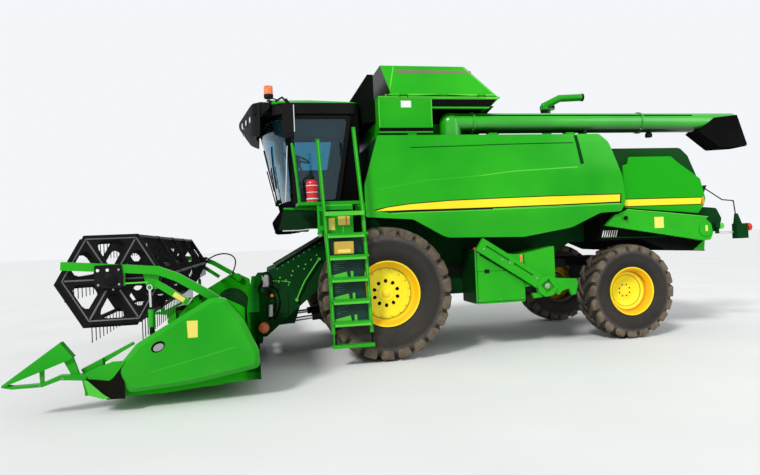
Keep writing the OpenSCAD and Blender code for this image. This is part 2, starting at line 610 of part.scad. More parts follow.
// Straw chopper under the hood, its side covers and its tail board
cover_y = panel_y - cover_step;
cover_depth = 150;
cover_t = 70;
cover_outline = [[-3260, 1655, 0], [-3410, 1815, 40], [-3520, 1790, 60], [-4870, 1712, 80], [-4975, 1620, 60],
  [-5000, 1480, 60], [-4955, 1385, 40], [-4840, 1378, 60]];
chopper_y = cover_y - cover_depth;
chopper_rear = -4820;
module straw_chopper() color(black) in_frame() {
  across(-chopper_y, chopper_y) polygon(rounded([[body_rear - seat, 1440, 0], [body_rear - seat, 1880, 0],
    [-3600, 1890 - seat, 0], [-4810, 1740 - seat, 0], [chopper_rear, 1725, 0], [chopper_rear, 1400, 60], [-4560, 1240, 60], [-4320, 1260, 60],
    [-3900, 1440, 60]]));
  across(-chopper_y + 60, chopper_y - 60) polygon([[-4640, 1310], [-4660, 1340], [-5020, 1230], [-5015, 1215]]);
}
module chopper_covers() color(green) in_frame() both_sides() {
  difference() {
    across(chopper_y + seat, cover_y) polygon(rounded(cover_outline));
    across(chopper_y - 1, cover_y - cover_t) polygon([[-3200, 1900], [-3200, 1300], [-4790, 1300], [-4790, 1900]]);
  }
  axle_pin([-4868, 1545], cover_y - 1, cover_y + 14, 105);
  axle_pin([-3550, 1752], cover_y - 1, cover_y + 22, 28);
}

// Engine block and the deck over it
module engine_block() color(steel) in_frame()
  block([-2900, -2000], [-450, 450], [2250 + seat, 2850]);
module engine_deck() color(green) in_frame() {
  block([engine_bay[0] - 40, engine_bay[1] + 40], [-960, 960], [deck_z + seat, deck_z + 20]);
  block([-2500, -1950], [-1120, -930], [deck_z + seat, 3230]);
  translate([-3040, 150, deck_z + 19]) cylinder(h = 640, r = 50, $fn = 48);
  translate([-3040, 150, deck_z + 640]) cylinder(h = 70, r = 115, $fn = 48);
  rail([[-2820, 480, deck_z + 10], [-2820, 480, 3560], [-3080, 480, 3680], [-3480, 480, 3700]], 55);
}

// Cab: a shell of pillars, floor and rear wall round a bowed windscreen
cab_y = cab_w / 2;
screen_side_low = 1160;
screen_side_high = 1230;
b_pillar_low = 560;
b_pillar_high = 290;
// Half of a bowed front edge: from the pillar at the side to the middle
function bow(side_x, mid_x, y, n = 10) =
  let (s = mid_x - side_x, r = (y * y + s * s) / (2 * s), a = asin(y / r))
  [for (i = [0:2 * n]) [mid_x - r + r * cos(a * (i / n - 1)), r * sin(a * (i / n - 1))]];
function cab_plan(side_x, mid_x, inset) = concat(
  [[cab_rear + inset, -cab_y + inset]], bow(side_x - inset, mid_x - inset, cab_y - inset), [[cab_rear + inset, cab_y - inset]]);
module cab_form(inset, z0, z1) hull() {
  up(z0, z0 + 1) polygon(cab_plan(screen_side_low, screen_low_x, inset));
  up(z1 - 1, z1) polygon(cab_plan(screen_side_high, screen_high_x, inset));
}
side_window = [[cab_rear + 150, cab_top_z - 60], [b_pillar_high + 60, cab_top_z - 60], [b_pillar_low + 60, cab_floor_z + 90],
  [cab_rear + 150, cab_floor_z + 90]];
door_hole = [[b_pillar_high + 60, cab_top_z - 60], [b_pillar_low, cab_floor_z + 60],
  [screen_side_low - 80, cab_floor_z + 60], [screen_side_high - 80, cab_top_z - 60]];
module screen_cut() difference() {
  block([screen_side_low - 40, screen_high_x + 60], [-cab_y - 1, cab_y + 1], [cab_floor_z + 80, cab_top_z - 60]);
  both_sides() across(cab_y - 70, cab_y + 1) polygon([[screen_side_low - 100, cab_floor_z],
    [screen_side_low - 0, cab_floor_z], [screen_side_high, cab_top_z], [screen_side_high - 100, cab_top_z]]);
}
module cab_shell() color(black) in_frame() {
  difference() {
    cab_form(0, cab_floor_z, cab_top_z);
    cab_form(cab_wall, cab_floor_z + 40, cab_top_z + 1);
    screen_cut();
    across(-cab_y - 1, cab_y + 1) polygon(door_hole);
    block([cab_rear - 1, cab_rear + cab_wall + 1], [-600, 600], [cab_floor_z + 500, cab_top_z - 120]);
  }
  across(-cab_y + 60, cab_y - 60) polygon(rounded([[cab_rear, cab_floor_z + 1, 0], [cab_rear, shoulder_z + 1 + seat, 0],
    [body_front + 10, shoulder_z + 1 + seat, 0], [760, cab_floor_z - 200, 60], [1080, 1745, 40], [1330, 1745, 40],
    [1385, 1940, 60], [1280, cab_floor_z + 1, 0]]));
  for (z = door_hinge_z) both_ears(z);
}
// The cab's side of a door hinge: two ears and a pin
module both_ears(z) {
  for (low = [z - door_knuckle_h / 2 - 14, z + door_knuckle_h / 2 + run_gap])
    block([door_axis[0] - 9, door_axis[0] + 12], [cab_y - 5, door_axis[1] + 9], [low, low + 8]);
  translate([door_axis[0], door_axis[1], z - door_knuckle_h / 2 - 10])
    cylinder(h = door_knuckle_h + 20, r = door_pin_r, $fn = 32);
}
module cab_glass() color(clear_blue) in_frame() {
  difference() {
    intersection() {
      cab_form(10, cab_floor_z, cab_top_z);
      screen_glass_zone();
    }
    cab_form(10 + glass_t, cab_floor_z - 1, cab_top_z + 1);
  }
  across(-cab_y + 10, -cab_y + 10 + glass_t) polygon(shrunk(door_hole, seat));
  block([cab_rear + 10, cab_rear + 10 + glass_t], [-600 + seat, 600 - seat], [cab_floor_z + 500 + seat, cab_top_z - 120 - seat]);
}
// A convex outline drawn in by a gap towards its middle
function shrunk(pts, gap) = let (m = [for (k = [0, 1]) (pts[0][k] + pts[1][k] + pts[2][k] + pts[3][k]) / 4])
  [for (p = pts) p + unit(m - p) * gap * 1.5];
module screen_glass_zone() difference() {
  block([screen_side_low - 40 + seat, screen_high_x + 60], [-cab_y, cab_y], [cab_floor_z + 80 + seat, cab_top_z - 60 - seat]);
  both_sides() across(cab_y - 70 - seat, cab_y + 1) polygon([[screen_side_low - 200, cab_floor_z - 100],
    [screen_side_low + 2, cab_floor_z - 100], [screen_side_high + 8, cab_top_z + 100], [screen_side_high - 200, cab_top_z + 100]]);
}

// Cab door: a frame hinged on the front pillar, with its glass
door_t = 30;
door_y = cab_y + run_gap;
door_hinge_x = screen_side_low + 5;
door_outline = [[b_pillar_high + 20, cab_top_z - 25, 60], [b_pillar_low - 40, cab_floor_z + 25, 60],
  [door_hinge_x - 20, cab_floor_z + 25, 20], [door_hinge_x - 20, cab_top_z - 25, 20]];
door_glass_outline = [[b_pillar_high + 85, cab_top_z - 75, 40], [b_pillar_low + 15, cab_floor_z + 80, 40],
  [door_hinge_x - 66, cab_floor_z + 80, 20], [door_hinge_x - 66, cab_top_z - 75, 20]];
door_hinge_z = [cab_floor_z + 200, cab_top_z - 260];
door_axis = [door_hinge_x, door_y + door_t / 2];
door_pin_r = 6;
door_knuckle_h = 50;
module cab_door() color(black) in_frame() difference() {
  union() {
    across(door_y, door_y + door_t) polygon(rounded(door_outline));
    for (z = door_hinge_z) {
      translate([door_axis[0], door_axis[1], z - door_knuckle_h / 2]) cylinder(h = door_knuckle_h, r = 12, $fn = 48);
      block([door_hinge_x - 22, door_axis[0]], [door_axis[1] - 8, door_axis[1] + 8],
        [z - door_knuckle_h / 2, z + door_knuckle_h / 2]);
    }
  }
  across(door_y - 1, door_y + door_t + 1) polygon(rounded(door_glass_outline));
  for (z = door_hinge_z) translate([door_axis[0], door_axis[1], z - door_knuckle_h / 2 - 1])
    cylinder(h = door_knuckle_h + 2, r = door_pin_r + pin_play, $fn = 32);
}
module cab_door_glass() color(clear_blue) in_frame() across(door_y + 10, door_y + 10 + glass_t)
  polygon(rounded([for (p = door_glass_outline) [p[0] + (p[0] < 700 ? seat : -seat), p[1] + (p[1] < 2700 ? seat : -seat), p[2]]]));

// Roof with its green cap, and the black visor round its front
roof_front = 1620;
roof_low = cab_top_z + seat;
module roof_plan(inset, front) polygon(rounded([[cab_rear - 30 + inset, -cab_y - 20 + inset, 120],
  [front - 250 - inset, -cab_y - 20 + inset, 300], [front - inset, 0, 900], [front - 250 - inset, cab_y + 20 - inset, 300],
  [cab_rear - 30 + inset, cab_y + 20 - inset, 120]], 6));
cap_low = 3462;
module cab_roof() color(green) in_frame() intersection() {
  up(cap_low + seat, 3600) roof_plan(0, roof_front);
  across(-cab_y - 30, cab_y + 30) polygon([[cab_rear - 40, cap_low], [cab_rear - 40, cap_low + 14],
    [390, 3506], [860, 3535], [1400, 3525], [1650, 3486], [1650, cap_low]]);
  along(cab_rear - 40, roof_front + 30) polygon([[-cab_y - 30, cap_low], [-cab_y - 30, cap_low + 16], [90 - cab_y, 3540],
    [cab_y - 90, 3540], [cab_y + 30, cap_low + 16], [cab_y + 30, cap_low]]);
}
visor_lamp_y = [for (k = [0:2]) cab_y - 240 - 220 * k];
visor_lamp_r = 45;
visor_sweep = 13.9;
// A lamp in the visor's swept front, standing back from the front by a pocket's depth
module visor_lamp(y, r, back) translate([1860 - y * tan(visor_sweep), y, 3300]) rotate([0, 0, visor_sweep])
  translate([back - 34, 0, 0]) rotate([0, 90, 0]) cylinder(h = 30 - back + (r > visor_lamp_r ? 60 : 0), r = r, $fn = 32);
module cab_visor() color(black) in_frame() difference() {
  union() {
    up(roof_low, cap_low) roof_plan(0, roof_front);
    difference() {
      intersection() {
        up(3000, 3490) roof_plan(-10, 1850);
        across(-cab_y - 40, cab_y + 40)
          polygon([[1540, 3080], [1620, 3010], [1850, 3240], [1850, 3360], [1640, 3485], [1540, 3485]]);
      }
      cab_form(-seat - 30, 2990, roof_low);
      up(2990, roof_low - 20) roof_plan(-seat, roof_front);
    }
  }
  up(cap_low, 3600) roof_plan(-seat, roof_front);
  both_sides() for (y = visor_lamp_y) visor_lamp(y, visor_lamp_r + seat, 0);
}

// Seat and console
module driver_seat() color(black) in_frame() {
  block([420, 900], [-260, 260], [cab_floor_z + 420, cab_floor_z + 540]);
  across(-240, 240) polygon(rounded([[430, cab_floor_z + 539, 0], [540, cab_floor_z + 539, 30], [440, cab_floor_z + 1110, 40],
    [340, cab_floor_z + 1110, 40]]));
}
module steering_console() color(black) in_frame() {
  block([450, 870], [-230, 230], [cab_floor_z + 40 + seat, cab_floor_z + 420 - seat]);
  block([500, 1000], [-520, -300], [cab_floor_z + 40 + seat, cab_floor_z + 640]);
  block([500, 1160], [-60, 60], [cab_floor_z + 40 + seat, cab_floor_z + 70]);
  block([500, 700], [-400, 0], [cab_floor_z + 60, cab_floor_z + 200]);
  rod([1122, 0, cab_floor_z + 60], [1002, 0, cab_floor_z + 795], 45);
  translate([1005, 0, cab_floor_z + 790]) rotate([0, -20, 0]) rotate_extrude($fn = 48) translate([190, 0]) circle(r = 15, $fn = 24);
  translate([1005, 0, cab_floor_z + 790]) rotate([0, -20, 0]) cube([30, 380, 16], center = true);
}

// Platform beside the cab with its rail
platform_out = ladder_y - 60;
ladder_axis = [868, platform_out + 27];
ladder_pin_r = 12;
ladder_pin_z = 1690;
ladder_sleeve_z = [ladder_pin_z + 18 + run_gap, platform_z - 40 - run_gap];
module platform() color(green) in_frame() {
  block([330, 1120], [cab_y + door_t + 2 * run_gap + 20, platform_out], [platform_z - 40, platform_z]);
  block([430, 840], [cab_y + 80, platform_out], [1660, platform_z - 39]);
  block([shoulder_front + seat, 331], [cab_y + 80, cab_y + 140], [1960, platform_z]);
  rail([[1080, 1430, platform_z - 30], [1160, 1430, 2850], [1130, 1250, 2850], [1080, 1250, platform_z - 30]], 16);
  block([ladder_axis[0] - 23, ladder_axis[0] + 23], [platform_out - 10, ladder_axis[1] + 23], [platform_z - 40, platform_z - 22]);
  block([838, ladder_axis[0] + 23], [platform_out - 60, ladder_axis[1] + 23], [ladder_pin_z, ladder_pin_z + 18]);
  translate([ladder_axis[0], ladder_axis[1], ladder_pin_z]) cylinder(h = platform_z - 22 - ladder_pin_z, r = ladder_pin_r, $fn = 32);
}
module fire_extinguisher() color(red) in_frame() {
  translate([930, 1460, platform_z + seat]) cylinder(h = 240, r = 75, $fn = 48);
  translate([930, 1460, platform_z + 239]) cylinder(h = 50, r = 30, $fn = 32);
}

// Mirrors on arms from the roof, beacon and work lamps; the rear lamps stand as wide as the roof
mirror_y = cab_y + 320;
beacon_y = cab_y - 120;
tail_w = cab_w + 40;
module mirrors() color(black) in_frame() both_sides() {
  block([1070, 1130], [cab_y + 20 + seat, cab_y + 40], [3370, 3430]);
  rod([1100, cab_y + 36, 3400], [1200, mirror_y - 4, 3450], 14);
  rod([1200, mirror_y - 4, 3462], [1190, mirror_y, 3390], 14);
  block([1120, 1260], [mirror_y - 30, mirror_y + 30], [3000, 3400]);
}
module beacon() color(amber) in_frame() {
  block([1290, 1440], [beacon_y - 30, beacon_y + 30], [3527 + seat, 3535]);
  translate([1410, beacon_y, 3534]) cylinder(h = 45, r = 22, $fn = 32);
  translate([1410, beacon_y, 3570]) cylinder(h = beacon_top_z - 3570, r = 60, $fn = 48);
}
module work_lamps() color(steel) in_frame() {
  both_sides() for (y = visor_lamp_y) visor_lamp(y, visor_lamp_r, seat);
  both_sides() translate([tail_x, tail_w / 2 - 60, 1550]) rotate([0, 90, 0]) cylinder(h = 50, r = 60, $fn = 32);
}

// Service boxes low on both sides and the slotted beam over the left one
box_outline = [[-1250, 1400, 10], [-1250, 650, 25], [-1970, 650, 25], [-1970, 850, 0], [-2430, 900, 20], [-2430, 1400, 10],
  [-1900, 1300, 300]];
module service_boxes() color(green) in_frame() both_sides()
  difference() {
    across(rail_y + rail_w + seat, cover_y) polygon(rounded(box_outline));
    across(cover_y - 8, cover_y + 1) polygon(strip([[-1240, 1095], [-1980, 1095]], 10));
  }
beam_head = [-2270, 850];
beam_t = 70;
module slotted_beam() color(green) in_frame() {
  y0 = cover_y + seat;
  difference() {
    union() {
      across(y0, y0 + beam_t) polygon(strip([[-1310, 1470], [-2210, 885]], 190));
      across(y0, y0 + beam_t + 12) polygon([for (k = [0:7]) beam_head + 150 * [cos(12 + 45 * k), sin(12 + 45 * k)]]);
      across(y0, y0 + 50) polygon([[-2330, 960], [-2730, 930], [-2745, 860], [-2710, 715], [-2650, 700], [-2610, 800],
        [-2500, 770], [-2450, 720], [-2330, 780]]);
      across(y0, y0 + 40) polygon([[-2180, 760], [-2060, 760], [-2080, 690], [-2210, 700]]);
    }
    across(y0 + 40, y0 + 90) polygon(strip([[-1400, 1440], [-1720, 1232]], 26));
    across(y0 + 40, y0 + 90) polygon(strip([[-1790, 1186], [-2060, 1010]], 26));
    across(y0 + 45, y0 + 90) polygon([for (k = [0:3]) beam_head + 105 * [cos(12 + 90 * k), sin(12 + 90 * k)]]);
  }
  axle_pin(beam_head, y0 + 44, y0 + beam_t, 42);
}

// Unloading auger on its turning axis, and the rubber spout on its end
turn_r = auger_r + 8;
spout_x = auger_x - auger_length;
spout_line = [[spout_x + 690, auger_z - auger_r - 12], [spout_x + 400, auger_z + 50], [spout_x + 10, auger_z + 92]];
module unloading_auger() color(green) in_frame() {
  translate([auger_x, auger_y, deck_z + seat]) cylinder(h = auger_z - deck_z - seat, r = turn_r, $fn = 64);
  translate([auger_x, auger_y, auger_z]) sphere(r = turn_r, $fn = 64);
  difference() {
    translate([auger_x, auger_y, auger_z]) rotate([0, -90, 0]) cylinder(h = auger_length, r = auger_r, $fn = 64);
    across(auger_y - auger_r - 1, auger_y + auger_r + 1) polygon(concat(spout_line, [[spout_x - 1, auger_z + 92],
      [spout_x - 1, auger_z - auger_r - 12]]));
  }
  for (x = [-300, -2900]) translate([auger_x + x, auger_y, auger_z]) rotate([0, -90, 0])
    cylinder(h = 26, r = auger_r + 16, $fn = 64);
}
module auger_spout() color(rubber) in_frame() difference() {
  across(auger_y - auger_r - 14, auger_y + auger_r + 14) polygon(rounded([
    [spout_line[0][0] - 20, spout_line[0][1], 0], [spout_line[1][0] - 4, spout_line[1][1] - seat, 0],
    [spout_line[2][0], spout_line[2][1] - seat, 10], [spout_x - 20, auger_z + 15, 10],
    [spout_x - 150, 2800, 20], [spout_x - 120, 2775, 20], [spout_x + 320, 2755, 20]]));
  across(auger_y - auger_r + 4, auger_y + auger_r - 4) polygon([[spout_x + 560, 3000], [spout_x + 380, auger_z + 20],
    [spout_x + 30, auger_z + 40], [spout_x + 0, auger_z], [spout_x - 125, 2740], [spout_x + 300, 2740]]);
}

// Access ladder: stringers with handrails, steps, and a bottom step on straps
ladder_rear_x = 310;
ladder_front_x = ladder_rear_x + ladder_w - 20;
front_stringer = [[ladder_front_x + 40, 2880], [ladder_front_x - 50, 1040], [ladder_front_x - 60, 420]];
rear_stringer = [[ladder_rear_x + 80, 3030], [ladder_rear_x, 1940], [ladder_rear_x - 50, 420]];
step_low = 550;
step_rise = 278;
module access_ladder() color(green) in_frame() {
  for (path = [front_stringer, rear_stringer]) across(ladder_y - 20, ladder_y + 20) polygon(strip(path, 44));
  for (i = [0:step_count - 1])
    block([ladder_rear_x - 40, ladder_front_x - 40], [ladder_y - 20, ladder_y + 90], [step_low + i * step_rise, step_low + 30 + i * step_rise]);
  block([ladder_rear_x - 70, ladder_front_x - 40], [ladder_y - 20, ladder_y + 90], [250, 290]);
  for (x = [ladder_rear_x - 65, ladder_front_x - 75]) block([x, x + 14], [ladder_y - 15, ladder_y + 15], [289, 425]);
  difference() {
    union() {
      translate([ladder_axis[0], ladder_axis[1], ladder_sleeve_z[0]])
        cylinder(h = ladder_sleeve_z[1] - ladder_sleeve_z[0], r = 20, $fn = 48);
      for (z = [ladder_sleeve_z[0] + 20, ladder_sleeve_z[1] - 80])
        block([812, ladder_axis[0]], [ladder_axis[1] + 6, ladder_y - 5], [z, z + 60]);
    }
    translate([ladder_axis[0], ladder_axis[1], ladder_sleeve_z[0] - 1])
      cylinder(h = ladder_sleeve_z[1] - ladder_sleeve_z[0] + 2, r = ladder_pin_r + pin_play, $fn = 32);
  }
}

// Tail frame: a beam on the chopper, a deflector between two cheeks, lamp boards and hand rods
cheek_y = tail_w / 2 - 120;
cheek_outline = [[-5090, 1500, 20], [-5140, 1900, 20], [-5470, 1870, 60], [-5560, 1700, 60], [-5500, 1500, 30]];
module tail_frame() color(dark_green) in_frame() {
  block([-5401, chopper_rear - seat], [-40, 40], [1560, 1640]);
  block([-5480, -5400], [-tail_w / 2 + 60, tail_w / 2 - 60], [1560, 1640]);
  across(-cheek_y + 1, cheek_y - 1) polygon(strip([[-5120, 1840], [-5140, 1880], [-5310, 2230]], 14));
  both_sides() {
    across(cheek_y - 20, cheek_y) polygon(rounded(cheek_outline));
    axle_pin([-5515, 1585], cheek_y - 1, cheek_y + 40, 48);
    block([-5760, -5479], [cheek_y - 10, cheek_y + 10], [1465, 1490]);
    block([-5500, -5440], [cheek_y - 10, cheek_y + 10], [1465, 1570]);
    block([tail_x + 50 + seat, -5750], [tail_w / 2 - 130, tail_w / 2 - 30], [1375, 1610]);
    across(tail_w / 2 - 110, tail_w / 2 - 80) polygon([[-5755, 1600], [-5785, 1770], [-5825, 1770], [-5900, 1600]]);
    rail([[-5290, cheek_y - 10, 2180], [-5570, cheek_y + 15, 1995], [-5775, cheek_y + 15, 1975],
      [-5805, cheek_y + 15, 1740]], 9);
  }
}

// Feeder house: a tapering tunnel on its two pivot pins
feeder_y = feeder_w / 2;
feeder_face = [[1610, 320], [1500, 1230]];
feeder_outline = [[400, 1790, 60], [370, 1300, 60], [1080, 720, 60], [1560, 320, 0], [feeder_face[0][0], feeder_face[0][1], 0],
  [feeder_face[1][0], feeder_face[1][1], 0], [1400, 1270, 0], [760, 1640, 60]];
rod_pin = [1200, 500];
rod_pin_r = 22;
module feeder_house() color(dark_green) in_frame() {
  difference() {
    across(-feeder_y, feeder_y) polygon(rounded(feeder_outline));
    across(-feeder_y + feeder_wall, feeder_y - feeder_wall) polygon([[300, 1700], [300, 1380], [1110, 745], [1700, 300], [1700, 1080], [1480, 1200],
      [760, 1610]]);
    both_sides() axle_pin([feeder_pivot_x, feeder_pivot_z], feeder_y - 50, feeder_y + 10, feeder_pin_r + pin_play);
  }
  both_sides() {
    across(lift_y + 40, lift_y + 60) polygon([[1060, 745], [1160, 455], [1240, 455], [1430, 440]]);
    axle_pin(rod_pin, lift_y - 30, lift_y + 41, rod_pin_r);
  }
}

// Lift cylinders between the front axle and the feeder house
lift_length = norm(rod_pin - barrel_pin);
lift_angle = atan2(rod_pin[1] - barrel_pin[1], rod_pin[0] - barrel_pin[0]);
module lift_line() both_sides() translate([barrel_pin[0], lift_y, barrel_pin[1]]) rotate([0, -lift_angle, 0]) children();
module lift_barrels() color(black) in_frame() lift_line() difference() {
  union() {
    rotate([90, 0, 0]) cylinder(h = 100, r = 45, center = true, $fn = 48);
    translate([20, 0, 0]) rotate([0, 90, 0]) cylinder(h = 640, r = lift_barrel_r, $fn = 48);
  }
  rotate([90, 0, 0]) cylinder(h = 120, r = barrel_pin_r + pin_play, center = true, $fn = 48);
  translate([90, 0, 0]) rotate([0, 90, 0]) cylinder(h = 600, r = lift_rod_r + pin_play, $fn = 48);
}
module lift_rods() color(steel) in_frame() lift_line() difference() {
  union() {
    translate([140, 0, 0]) rotate([0, 90, 0]) cylinder(h = lift_length - 140 - 40, r = lift_rod_r, $fn = 48);
    translate([lift_length, 0, 0]) rotate([90, 0, 0]) cylinder(h = 50, r = rod_pin_r + eye_gap + 18, center = true, $fn = 48);
  }
  translate([lift_length, 0, 0]) rotate([90, 0, 0]) cylinder(h = 60, r = rod_pin_r + eye_gap, center = true, $fn = 48);
}

// Header: back wall, trough and floor of one folded sheet, frame tubes and end walls
header_y = header_w / 2;
trough_c = [2120, 520];
trough_r = intake_flight_r + 50;
back_x = trough_c[0] - trough_r;
arm_pin = [2000, 980];
arm_pin_r = 20;
mouth_y = feeder_y - 40;
// Station of the header's coupling face at height z, parallel to the feeder house's front face
function face_x(z) = feeder_face[0][0] + seat + (z - feeder_face[0][1])
  * (feeder_face[1][0] - feeder_face[0][0]) / (feeder_face[1][1] - feeder_face[0][1]);
sheet_line = concat([[back_x, 940]], arc(trough_c, trough_r, 180, 270, 10), [[2750, 160], [cutter_x - 60, 150]]);
shield_outline = [[1660, 340, 60], [1670, 500, 60], [1810, 830, 120], [1990, 1060, 60], [2130, 1070, 60],
  [2850, 660, 120], [3050, 420, 120], [2940, 190, 90], [2320, 230, 300]];
end_wall_outline = [[1800, 200, 0], [1800, 950, 40], [1990, 1050, 40], [2120, 1050, 40], [2840, 650, 60], [3160, 300, 60], [cutter_x - 60, 140, 0], [2600, 140, 0]];
module header_frame() color(green) in_frame() {
  difference() {
    union() {
      across(-header_y, header_y) polygon(concat(beside(sheet_line, header_sheet / 2), reversed(beside(sheet_line, -header_sheet / 2))));
      block([back_x - 120, back_x - 4], [-header_y, header_y], [890, 1000]);
      block([back_x - 110, back_x + 90], [-header_y, header_y], [190, 270]);
      both_sides() across(mouth_y, mouth_y + 90)
        polygon([[face_x(240), 240], [face_x(1150), 1150], [1650, 1150], [back_x + 4, 980], [back_x + 4, 240]]);
      across(-mouth_y - 1, mouth_y + 1)
        polygon([[face_x(890), 890], [face_x(1150), 1150], [1650, 1150], [back_x + 4, 980], [back_x + 4, 890]]);
    }
    block([back_x - 250, back_x + 60], [-mouth_y, mouth_y], [280, 870]);
    across(-mouth_y, mouth_y) polygon([[1400, 200], [face_x(200), 200], [face_x(300), 300], [1400, 300]]);
  }
  both_sides() {
    across(header_y - 1, header_y + end_wall_t) polygon(rounded(end_wall_outline));
    axle_pin(arm_pin, header_y - arm_inset - arm_w / 2 - 10, header_y, arm_pin_r);
    axle_pin(reel_barrel_pin, header_y - arm_inset - 25, header_y, 14);
    axle_pin(trough_c, header_y - 80, header_y, 40);
  }
}
shield_face = [[1712, 385, 40], [1720, 500, 60], [1850, 800, 120], [2008, 1018, 50], [2118, 1025, 50],
  [2815, 630, 110], [2998, 412, 100], [2905, 236, 80], [2335, 276, 260]];
shield_bevel = 48;
module end_shields() color(green) in_frame() both_sides() difference() {
  hull() {
    across(header_y + end_wall_t + seat, header_y + end_wall_t + shield_t - shield_bevel) polygon(rounded(shield_outline));
    across(header_y + end_wall_t + shield_t - 1, header_y + end_wall_t + shield_t) polygon(rounded(shield_face));
  }
  across(header_y, header_y + end_wall_t + shield_t - shield_bevel - 4) polygon(rounded([[1690, 370, 40], [1700, 500, 40],
    [1835, 815, 100], [2000, 1025, 40], [2125, 1040, 40], [2830, 640, 100], [3010, 420, 100], [2920, 220, 70], [2320, 262, 300]]));
}
// Dividers: a long one with a blade over its arm, and a short one before each end wall
nose_x = cutter_x - 60 + seat;
module crop_dividers() color(green) in_frame() both_sides() {
  block([nose_x, 3330], [header_y - 60, header_y + 130], [200, 260]);
  across(header_y + 60, header_y + 130) polygon([[3070, 250], [3330, 250], [3350, 350], [3540, 370], [3700, 318],
    [3970, 318], [divider_tip_x, 340], [divider_tip_x, 362], [3960, 345], [3720, 348], [3550, 415], [3340, 410], [3080, 410]]);
  across(header_y + 40, header_y + 145) polygon([[divider_tip_x, 342], [divider_tip_x, 362], [3530, 730],
    [3420, 580], [3450, 560]]);
  across(header_y + 80, header_y + 110) polygon([[3440, 620], [3520, 560], [3440, 390], [3370, 390]]);
  across(header_y + 80, header_y + 110) polygon([[3690, 500], [3730, 480], [3725, 330], [3695, 330]]);
  across(header_y - 60, header_y + 40) polygon([[3210, 140], [3380, 440], [3180, 535], [nose_x, 150]]);
  across(header_y - 60, header_y - 1 - seat) polygon([[3380, 440], [2910, 665], [2890, 640], [3180, 480]]);
}
module cutter_bar() color(steel) in_frame() {
  block([nose_x, cutter_x], [-header_y + 70, header_y - 70], [140, 156]);
  for (y = [-header_y + 140:guard_pitch:header_y - 140]) up(141, 155)
    polygon([[cutter_x - 5, y - 24], [cutter_x + 70, y], [cutter_x - 5, y + 24]]);
}

// Intake auger: a tube with a right-hand and a left-hand flight that meet in the middle
intake_y = header_y - 40;
flight_t = 26;
flight_slices = 18;
module intake_auger() color(dark_green) in_frame() difference() {
  union() {
    axle_pin(trough_c, -intake_y, intake_y, intake_tube_r);
    both_sides() translate([trough_c[0], 20, trough_c[1]]) rotate([-90, 0, 0])
      linear_extrude(intake_y - 60, twist = -360 * (intake_y - 60) / intake_pitch,
        slices = round(flight_slices * (intake_y - 60) / intake_pitch), segments = 4)
        translate([intake_tube_r - 6, -flight_t / 2]) square([intake_flight_r - intake_tube_r + 6, flight_t]);
  }
  both_sides() axle_pin(trough_c, intake_y - 60, intake_y + 1, 40 + pin_play);
}

// Reel arms and reel
arm_y = header_y - arm_inset;
arm_path = [[arm_pin[0], arm_pin[1]], [2160, 1100], [2460, 1290], [2650, 1370], [2950, 1400], [3550, 1455]];
reel_barrel_pin = [2720, 600];
reel_rod_pin = [2730, 1200];
module reel_arms() color(green) in_frame() both_sides() difference() {
  union() {
    across(arm_y - arm_w / 2, arm_y + arm_w / 2) polygon(strip(arm_path, 84));
    axle_pin(arm_pin, arm_y - arm_w / 2, arm_y + arm_w / 2, 55);
    across(arm_y - arm_w / 2, arm_y + arm_w / 2) polygon([[reel_x - 130, 1440], [reel_x - 130, 1230], [reel_x + 130, 1230], [reel_x + 130, 1460]]);
    across(arm_y - arm_w / 2, arm_y - arm_w / 2 + 10) polygon([[2630, 1360], [2660, 1180], [2760, 1180], [2800, 1370]]);
    across(arm_y - arm_w / 2, arm_y + arm_w / 2 - 20) polygon(strip([[2670, 1245], [2360, 1020]], 66));
    axle_pin(reel_rod_pin, arm_y - arm_w / 2 + 9, arm_y + arm_w / 2 - 5, 10);
  }
  axle_pin(arm_pin, arm_y - 100, arm_y + 100, arm_pin_r + pin_play);
  axle_pin([reel_x, reel_z], arm_y - 100, arm_y + 100, reel_shaft_r + pin_play);
}
reel_y = reel_length / 2;
spider_t = 12;
offset_x = 52;
offset_z = -34;
bar_r = 22;
bar_step = 360 / bar_count;
module reel_rotor() {
  rotate([90, 0, 0]) {
    translate([0, 0, -reel_y]) cylinder(h = 2 * reel_y, r = reel_tube_r, $fn = 64);
    translate([0, 0, -arm_y - arm_w / 2]) cylinder(h = 2 * arm_y + arm_w, r = reel_shaft_r, $fn = 48);
    for (i = [0:spider_count - 1])
      translate([0, 0, -reel_y + i * (2 * reel_y - spider_t) / (spider_count - 1)]) spider();
    for (i = [0:bar_count - 1]) rotate(i * bar_step)
      translate([reel_r, 0, -reel_y]) cylinder(h = 2 * reel_y, r = bar_r, $fn = 32);
    for (end = [-reel_y + 60, reel_y - 60 - spider_t]) {
      translate([offset_x, offset_z, end]) spider();
      for (i = [0:bar_count - 1]) let (c = reel_r * [cos(i * bar_step), sin(i * bar_step)])
        rod([c[0], c[1], end + spider_t / 2], [c[0] + offset_x, c[1] + offset_z, end + spider_t / 2], 14);
    }
  }
  for (i = [0:bar_count - 1], y = [-reel_y + tine_pitch / 2:tine_pitch:reel_y - 10])
    translate([reel_r * cos(i * bar_step), y, reel_r * sin(i * bar_step)])
      rotate([180, 0, 0]) cylinder(h = tine_length, r = tine_r, $fn = 4);
}
// A flat spider with a window between each pair of spokes
module spider() linear_extrude(spider_t) difference() {
  polygon([for (i = [0:bar_count - 1]) (reel_r + 30) * [cos(i * bar_step), sin(i * bar_step)]]);
  for (i = [0:bar_count - 1]) rotate((i + 0.5) * bar_step)
    polygon(rounded([[150, -40, 30], [reel_r * 0.8, -172, 60], [reel_r * 0.8, 172, 60], [150, 40, 30]], 3));
}
module reel() color(black) in_frame() translate([reel_x, 0, reel_z]) reel_rotor();

